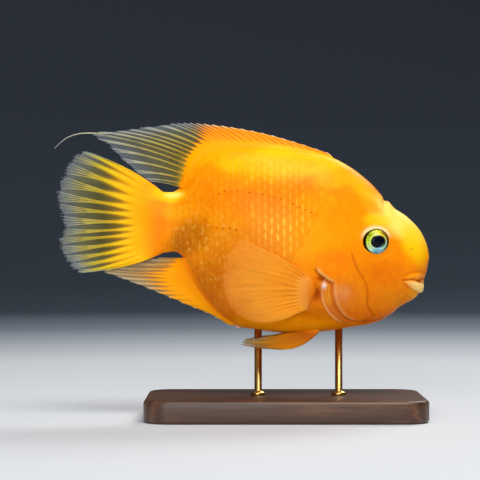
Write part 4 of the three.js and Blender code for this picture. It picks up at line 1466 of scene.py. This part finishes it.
def fin_frame(fin, ray, share):
    """The place, the way across the rays, the fin's normal and the width that the rays share."""
    step = 1e-3
    outward = unit(fin_place(fin, ray, share + step) - fin_place(fin, ray, share - step))
    inner = np.maximum(share, 0.02)
    before, after = np.maximum(ray - step, 0), np.minimum(ray + step, 1)
    across = fin_place(fin, after, inner) - fin_place(fin, before, inner)
    normal = unit(np.cross(across, outward))
    normal = normal * np.where(normal[..., 1:2] < 0, -1, 1)
    width = np.linalg.norm(across, axis=-1) / (after - before)
    return fin_place(fin, ray, share), unit(np.cross(normal, outward)), normal, width


def ray_row(fin):
    """The places of a fin's rays along its row, from 0 to 1, and which of them split."""
    spines = [(ray, False) for ray in fin["spines"]]
    soft_rays = [(ray, True) for ray in fin["soft_rays"]]
    rays, splitting = zip(*sorted(spines + soft_rays))
    return np.array(rays) / (len(fin["tips"]) - 1), splitting


def ray_length(fin, ray):
    """The length of a ray from the skin to its tip."""
    return np.linalg.norm(fin_place(fin, ray, ray * 0 + 1) - fin_place(fin, ray, ray * 0), axis=-1)


def root_flare(fin, ray):
    """How much wider a fin's sleeve grows at its buried end, where the body still covers it."""
    knots = np.linspace(0, 1, 40)
    buried = fin_place(fin, knots, -ROOT_DEPTH / ray_length(fin, knots))
    room = [on_side(x, z)[2] for x, _, z in buried]
    spare = FLARE_ROOM * np.interp(ray, knots, room) - along_list(fin["root_half"], ray)
    return np.clip(spare, 0, fin["flare"])


def film_reach(phase, between):
    """How far the film reaches along a ray, a little short and torn between two rays."""
    ragged = np.abs(np.sin(phase * 9.7) * np.sin(phase * 23.1 + 1))
    return 1 - FILM_NOTCH * between**0.8 - FILM_RAGGED * ragged


def sleeve_half(fin, ray, share, start, length, in_flesh):
    """Half the thickness of a fin, from the fleshy sleeve at its root to its film."""
    sleeve = 1 - smooth(0, fin["sleeve"], in_flesh)
    if "rounded_root" in fin:
        crown = np.sqrt(np.maximum(1 - (2 * ray - 1) ** 2, 0.03))
        sleeve = sleeve * mix(crown, 1, smooth(0, 0.5, share))
    if "sunk" in fin:
        sleeve = sleeve * np.clip(1 - 1.3 * np.minimum(share, 0) / start, 0, 1)
    flare = root_flare(fin, ray) * np.exp(-(share * length + ROOT_DEPTH) / ROOT_SPREAD)
    half = FILM_HALF + along_list(fin["root_half"], ray) * sleeve + flare
    return half * (1 - FILM_EDGE_THINNING * smooth(0.9, 1, share))


def fin_film(name, fin, material, sign, replaced):
    """The film between the rays, thick and fleshy at the root."""
    rays, _ = ray_row(fin)
    gaps = len(rays) - 1
    bm = bmesh.new()
    bmesh.ops.create_grid(bm, x_segments=COLUMNS_PER_RAY * gaps, y_segments=FIN_ROWS, size=1)
    bmesh.ops.solidify(bm, geom=bm.faces[:], thickness=1)
    mesh = mesh_of(bm, name)
    local = places_of(mesh)
    phase = (local[:, 0] + 1) / 2 * gaps
    ray = np.interp(phase, np.arange(gaps + 1), rays)
    between = np.abs(phase - np.round(phase)) * 2
    length = ray_length(fin, ray)
    start = -ROOT_DEPTH / length
    out = mix(start, 1, (local[:, 1] + 1) / 2)
    share = np.where(out > 0, out * film_reach(phase, between), out)
    face = np.where(np.abs(local[:, 2]) > 0.5, -1, 1)
    in_flesh = np.maximum(share, 0) / along_list(fin["flesh"], ray)
    free = np.maximum(smooth(0.4, 1, in_flesh), smooth(*fin["furrows"], share))
    free = free * (1 - smooth(0.5 * fin["ridged"], fin["ridged"], share))
    ridge = RIDGE_HEIGHT * (1 - between) ** 1.3 * free * (1 - 0.8 * np.clip(share, 0, 1))
    half = sleeve_half(fin, ray, share, start, length, in_flesh)
    place, _, normal, _ = fin_frame(fin, ray, share)
    places = place + normal * (face * (half + ridge))[:, None]
    places[:, 1] *= sign
    set_places(mesh, to_world(places))
    fingers = in_flesh * (0.75 + 0.5 * between)
    set_value(mesh, "reach", np.clip(share, 0, 1))
    set_value(mesh, "flesh", 1 - smooth(0.7, 1.25, fingers))
    set_value(mesh, "groove", between * free)
    set_value(mesh, "row", phase)
    show(name, mesh, material, [replaced])


def spine_tube(fin, ray, half):
    return ray, 0, half, ray, fin["ray_reach"], 0.4 * half


def branch_tubes(fin, ray, gap, half):
    """The tubes of a soft ray, which parts in two at each fork."""
    forks = [0] + [random.uniform(*limits) for limits in fin["forks"]] + [1]
    opening = [0 if share < forks[1] else share**2 for share in forks]
    tubes = []
    for level in range(len(forks) - 1):
        branches = 2**level
        start_half = half * BRANCH_WIDTH**level
        for branch in range(branches):
            parent = (2 * (branch // 2 + 0.5) / (branches / 2) - 1) if level else 0
            target = 2 * (branch + 0.5) / branches - 1
            start_ray = ray + gap * fin["fan"] * parent * opening[level]
            end_ray = ray + gap * fin["fan"] * target * max(opening[level + 1], 0.25 * level)
            is_tip = level == len(forks) - 2
            end = random.uniform(*BRANCH_ENDS) if is_tip else forks[level + 1] + BRANCH_OVERLAP
            end_half = start_half * (0.3 if is_tip else 0.85)
            start, end = forks[level] * fin["ray_reach"], end * fin["ray_reach"]
            tubes.append((start_ray, start, start_half, end_ray, end, end_half))
    return tubes


def ray_tubes(fin):
    """Each tube of a fin's rays, as ray, share and half width at its start and at its end."""
    rays, splitting = ray_row(fin)
    widths = along_list(fin["ray_width"], rays)
    tubes = []
    for ray, gap, width, splits in zip(rays, np.gradient(rays), widths, splitting):
        if splits:
            tubes += branch_tubes(fin, ray, gap, width * gap)
        else:
            tubes.append(spine_tube(fin, ray, width * gap))
    return np.array(tubes)


def tube_template():
    """A closed tube from z 0 to z 1 with radius 1."""
    bm = bmesh.new()
    bmesh.ops.create_cone(bm, cap_ends=True, segments=TUBE_SIDES, radius1=1, radius2=1, depth=1)
    long_edges = [edge for edge in bm.edges if edge_rise(edge) > 0.5]
    bmesh.ops.subdivide_edges(bm, edges=long_edges, cuts=TUBE_CUTS)
    bmesh.ops.translate(bm, verts=bm.verts, vec=(0, 0, 0.5))
    return mesh_of(bm, "tube")


def fin_rays(name, fin, template, material, sign):
    tubes = ray_tubes(fin)
    mesh = copies(template, len(tubes), name)
    local = places_of(mesh).reshape(len(tubes), -1, 3)
    ray_start, start, start_half, ray_end, end, end_half = tubes.T[:, :, None]
    length = local[..., 2]
    share = mix(start, end, length)
    ray = np.clip(mix(ray_start, ray_end, length), 0, 1)
    place, across, normal, width = fin_frame(fin, ray, share)
    half_width = mix(start_half, end_half, length) * width
    half_width = np.clip(half_width, RAY_LEAST_HALF_WIDTH, RAY_MOST_HALF_WIDTH)
    thick = mix(RAY_HALF_AT_ROOT, RAY_HALF_AT_TIP, np.clip(share, 0, 1) ** 0.7)
    if fin["ray_reach"] < 1:
        thick *= 1 - 0.9 * smooth(0.5, 0.95, share / fin["ray_reach"])
    places = place + across * (local[..., 0] * half_width)[..., None]
    places = places + normal * (local[..., 1] * thick)[..., None]
    places[..., 1] *= sign
    set_places(mesh, to_world(places.reshape(-1, 3)))
    set_value(mesh, "reach", np.clip(share, 0, 1))
    show(name, mesh, material)


def filament(template, material):
    """The thread that the longest dorsal rays run on into."""
    mesh = copies(template, FILAMENT_TUBES, "filament")
    local = places_of(mesh).reshape(FILAMENT_TUBES, -1, 3)
    share = (np.arange(FILAMENT_TUBES)[:, None] + local[..., 2]) / FILAMENT_TUBES
    path = spline(FILAMENT)
    step = 1e-3
    upward = unit(np.cross([0, -1, 0], unit(path(share + step) - path(share - step))))
    radius = FILAMENT_RADIUS * mix(1, 0.3, share) * mix(0.3, 1, smooth(0, 0.3, share))
    places = path(share) + upward * (local[..., 0] * radius)[..., None]
    places[..., 1] += local[..., 1] * radius
    set_places(mesh, to_world(places.reshape(-1, 3)))
    set_value(mesh, "reach", mix(0.7, 1, share))
    show("filament", mesh, material)


def fin_material(name):
    return new_material(
        name, Roughness=0.42, Specular_IOR_Level=0.05, Coat_Weight=0.03, Coat_Roughness=0.3,
    )


def wandering_reach(tree):
    """How far out a place on a fin is, from 0 to 1, made a little uneven."""
    wander = noise(tree, object_place(tree), 90, 3).outputs["Fac"]
    drift = maths(tree, "MULTIPLY", maths(tree, "SUBTRACT", wander, 0.5), REACH_WANDER)
    return maths(tree, "ADD", value_of(tree, "reach"), drift)


def colour_ramp(tree, reach, stops):
    return ramp(tree, reach, [stop[:2] for stop in stops])


def cover_ramp(tree, reach, stops):
    return plain_ramp(tree, reach, [(share, (hide, hide, hide, 1)) for share, _, hide in stops])


def ray_streaks(tree):
    """An uneven value that is drawn out along the rays."""
    parts = {0: value_of(tree, "row"), 1: value_of(tree, "reach")}
    place = node(tree, "CombineXYZ", parts).outputs[0]
    drawn = node(tree, "Mapping", {"Vector": place, "Scale": (2.4, 1.6, 1)}).outputs[0]
    return noise(tree, drawn, 1.0, 3).outputs["Fac"]


def film_finish(name, fin):
    """The film with the fleshy sleeve over its root, which takes the skin's paint where they meet."""
    material, tree, shader = fin_material(name)
    reach = wandering_reach(tree)
    flesh = value_of(tree, "flesh")
    streaks = ray_streaks(tree)
    groove = stretch(tree, value_of(tree, "groove"), 0.2, 0.9, 0.0, fin["groove"])
    sleeve = blend(tree, groove, colour_ramp(tree, reach, fin["sleeve_colours"]), colour(*GROOVE))
    pale = stretch(tree, streaks, 0.5, 0.75, 0.0, fin["pale_streaks"])
    sleeve = blend(tree, maths(tree, "MULTIPLY", pale, groove), sleeve, colour(*GROOVE_STREAK))
    root = stretch(tree, value_of(tree, "reach"), 0.0, fin["blend"], 1.0, 0.0)
    sleeve = blend(tree, root, sleeve, paint(tree))
    shade = blend(tree, flesh, colour_ramp(tree, reach, fin["film_colours"]), sleeve)
    tree.links.new(shade, shader.inputs["Base Color"])
    uneven = stretch(tree, streaks, 0.25, 0.75, 0.75, 1.2)
    cover = cover_ramp(tree, reach, fin["film_colours"])
    cover = maths(tree, "MULTIPLY", cover, uneven, clamp=True)
    tree.links.new(maths(tree, "MAXIMUM", cover, flesh), shader.inputs["Alpha"])
    grain = noise(tree, object_place(tree), 1300, 3).outputs["Fac"]
    bump(tree, shader, grain, 0.15, 0.0003)
    return material


def ray_finish(name, fin):
    """The rays, with pale bands at their joints."""
    material, tree, shader = fin_material(name)
    reach = wandering_reach(tree)
    bands = {"Vector": value_of(tree, "reach"), "Scale": RAY_JOINT_BANDS, "Distortion": 1.0}
    joints = node(tree, "TexWave", bands).outputs["Fac"]
    mottle = stretch(tree, joints, 0.2, 0.9, 0.0, fin["joints"])
    shade = blend(tree, mottle, colour_ramp(tree, reach, fin["ray_colours"]), colour(*RAY_JOINT))
    tree.links.new(shade, shader.inputs["Base Color"])
    tree.links.new(cover_ramp(tree, reach, fin["ray_colours"]), shader.inputs["Alpha"])
    return material


def fin_finishes(name, fin):
    return film_finish(name + "_film", fin), ray_finish(name + "_ray", fin)


def fin_pieces(name, fin, finishes, template, sign=1):
    film, ray = finishes
    fin_film(name + "_film", fin, film, sign, name)
    fin_rays(name + "_rays", fin, template, ray, sign)
    return ray


# Stand, with heights above the table

BASE_LENGTH = 150
BASE_WIDTH = 84
BASE_THICKNESS = 12
BASE_CORNER = 14
BASE_CORNER_SEGMENTS = 14
BASE_BEVEL = 2
BASE_BEVEL_SEGMENTS = 4
ROD_RADIUS = 2
ROD_TOP = 54
ROD_SIDES = 40
# The collar round a rod's foot, as (radius, height above the base's top)
COLLAR = [(4, 0), (4, 1.2), (3.5, 1.7), (2.5, 2.1), (ROD_RADIUS, 2.5)]
RODS = {"stand_rod_front": 29, "stand_rod_rear": -14.5}
WALNUT_COLOURS = [(0.0, (68, 43, 29)), (0.5, (84, 54, 35)), (1.0, (102, 67, 43))]
WALNUT_PORES = (40, 25, 16)
WALNUT_RING_STRETCH = (9, 60, 60)
WALNUT_PORE_STRETCH = (40, 900, 900)
BRASS = (206, 164, 92)
BRASS_TURNING_STRETCH = (300, 300, 6000)


def walnut():
    material, tree, shader = new_material("walnut", Roughness=0.45, Coat_Weight=0.08)
    place = object_place(tree)
    stretched = node(tree, "Mapping", {"Vector": place, "Scale": WALNUT_RING_STRETCH}).outputs[0]
    rings = node(tree, "TexWave", {
        "Vector": stretched, "Scale": 1.0, "Distortion": 6.0, "Detail": 3.0, "Detail Scale": 1.2,
    }, bands_direction="Y").outputs["Fac"]
    fine = node(tree, "Mapping", {"Vector": place, "Scale": WALNUT_PORE_STRETCH}).outputs[0]
    pores = noise(tree, fine, 1.0, 4).outputs["Fac"]
    dark = stretch(tree, pores, 0.45, 0.75, 0.0, 0.5)
    shade = blend(tree, dark, ramp(tree, rings, WALNUT_COLOURS), colour(*WALNUT_PORES))
    tree.links.new(shade, shader.inputs["Base Color"])
    bump(tree, shader, pores, 0.15, 0.0003)
    return material


def brass():
    material, tree, shader = new_material(
        "brass", Base_Color=colour(*BRASS), Metallic=1.0, Roughness=0.28,
    )
    place = {"Vector": object_place(tree), "Scale": BRASS_TURNING_STRETCH}
    lines = noise(tree, node(tree, "Mapping", place).outputs[0], 1.0, 2).outputs["Fac"]
    bump(tree, shader, lines, 0.12, 0.0002)
    return material


def turned(profile, steps, seam):
    """A shape turned round the upright axis from (radius, height) points, with its seam closed."""
    bm = bmesh.new()
    verts = [bm.verts.new((radius, 0, height)) for radius, height in profile]
    edges = [bm.edges.new(pair) for pair in zip(verts, verts[1:])]
    bmesh.ops.spin(
        bm, geom=verts + edges, axis=(0, 0, 1), cent=(0, 0, 0), steps=steps, angle=2 * math.pi,
        use_merge=True, use_duplicate=False,
    )
    bmesh.ops.remove_doubles(bm, verts=bm.verts, dist=seam)
    return bm


def bevelled(bm, edges, offset, segments):
    bmesh.ops.bevel(
        bm, geom=edges, offset=offset, segments=segments, profile=0.5, affect="EDGES", material=-1,
    )


def edge_rise(edge):
    return abs(edge.verts[0].co.z - edge.verts[1].co.z)


def plinth():
    bm = bmesh.new()
    bmesh.ops.create_cube(bm, size=1)
    bmesh.ops.translate(bm, verts=bm.verts, vec=(0, 0, 0.5))
    bmesh.ops.scale(bm, verts=bm.verts, vec=(BASE_LENGTH, BASE_WIDTH, BASE_THICKNESS))
    upright = [edge for edge in bm.edges if edge_rise(edge) > 1]
    bevelled(bm, upright, BASE_CORNER, BASE_CORNER_SEGMENTS)
    level = [edge for edge in bm.edges if edge_rise(edge) < 0.01]
    bevelled(bm, level, BASE_BEVEL, BASE_BEVEL_SEGMENTS)
    bmesh.ops.scale(bm, verts=bm.verts, vec=(MM, MM, MM))
    show("stand_plinth", mesh_of(bm, "stand_plinth"), walnut(), ["stand_base"])


def rods():
    metal = brass()
    foot = [(radius, BASE_THICKNESS + height) for radius, height in COLLAR]
    profile = [(0, BASE_THICKNESS)] + foot + [(ROD_RADIUS, ROD_TOP), (0, ROD_TOP)]
    for name, x in RODS.items():
        bm = turned(profile, ROD_SIDES, 0.001)
        bmesh.ops.translate(bm, verts=bm.verts, vec=(x, 0, 0))
        bmesh.ops.scale(bm, verts=bm.verts, vec=(MM, MM, MM))
        show(name + "_turned", mesh_of(bm, name + "_turned"), metal, [name])


# Studio, in metres: a pale floor round the stand that darkens into a rounded wall behind

STUDIO_PROFILE = [
    (0, 0), (0.5, 0), (1, 0), (1.5, 0), (1.8, 0.03), (2, 0.12), (2.12, 0.3), (2.15, 0.6),
    (2.15, 1.7),
]
STUDIO_SIDES = 96
STUDIO_REACH = 2.4
STUDIO_COLOURS = [
    (0.0, (214, 216, 218)), (0.2, (206, 210, 214)), (0.42, (120, 130, 140)),
    (0.62, (60, 70, 82)), (1.0, (40, 48, 60)),
]
# Each lamp as its place, what it aims at, its size and its power in watts
LAMPS = {
    "key": ((0.25, -0.75, 1.55), (0, 0, 0.1), 0.9, 22),
    "fill": ((-0.4, -1.65, 0.5), (0, 0, 0.08), 0.9, 15),
    "rim": ((0.75, 1.1, 1.3), (0, 0, 0.12), 0.7, 14),
}
CAMERA_PLACE = (-0.0243, -1.0, 0.09568)
CAMERA_LENS_MM = 138.9
CAMERA_SENSOR_MM = 36
CAMERA_NEAREST = 0.05
AIR_COLOUR = (196, 200, 206)
AIR_STRENGTH = 0.4


def studio():
    mesh = mesh_of(turned(STUDIO_PROFILE, STUDIO_SIDES, 0.0001), "studio")
    mesh.shade_smooth()
    material, tree, shader = new_material("studio", Roughness=0.85)
    reach = node(tree, "VectorMath", {0: object_place(tree)}, operation="LENGTH").outputs["Value"]
    shade = ramp(tree, maths(tree, "DIVIDE", reach, STUDIO_REACH), STUDIO_COLOURS)
    tree.links.new(shade, shader.inputs["Base Color"])
    mesh.materials.append(material)
    piece = bpy.data.objects.new("studio", mesh)
    bpy.context.scene.collection.objects.link(piece)
    [lamp(name, *settings) for name, settings in LAMPS.items()]


def lamp(name, place, aim, size, power):
    data = bpy.data.lights.new(name, "AREA")
    data.size = size
    data.energy = power
    made = bpy.data.objects.new(name, data)
    made.location = place
    away = Vector(aim) - Vector(place)
    made.rotation_euler = away.to_track_quat("-Z", "Y").to_euler()
    made.visible_camera = False
    bpy.context.scene.collection.objects.link(made)
    return made


def camera():
    data = bpy.data.cameras.new("camera")
    data.sensor_width = CAMERA_SENSOR_MM
    data.lens = CAMERA_LENS_MM
    data.clip_start = CAMERA_NEAREST
    made = bpy.data.objects.new("camera", data)
    made.location = CAMERA_PLACE
    made.rotation_euler = (math.pi / 2, 0, 0)
    bpy.context.scene.collection.objects.link(made)
    bpy.context.scene.camera = made


def air():
    world = bpy.data.worlds.new("studio_air")
    world.use_nodes = True
    sky = world.node_tree.nodes["Background"]
    sky.inputs["Color"].default_value = colour(*AIR_COLOUR)
    sky.inputs["Strength"].default_value = AIR_STRENGTH
    bpy.context.scene.world = world
    bpy.context.scene.view_settings.view_transform = "Standard"


fish_skin()
all_scales()
pores()
eye_finish = eye_material()
for side, sign in SIDES.items():
    eyeball(side, sign, eye_finish)
tube = tube_template()
dorsal_ray = fin_pieces("dorsal_fin", DORSAL, fin_finishes("dorsal", DORSAL), tube)
filament(tube, dorsal_ray)
fin_pieces("caudal_fin", CAUDAL, fin_finishes("caudal", CAUDAL), tube)
fin_pieces("anal_fin", ANAL, fin_finishes("anal", ANAL), tube)
pectoral_finishes = fin_finishes("pectoral", PECTORAL)
pelvic_finishes = fin_finishes("pelvic", PELVIC)
for side, sign in SIDES.items():
    fin_pieces("pectoral_fin_" + side, PECTORAL, pectoral_finishes, tube, sign)
    fin_pieces("pelvic_fin_" + side, PELVIC, pelvic_finishes, tube, sign)
plinth()
rods()
studio()
air()
camera()
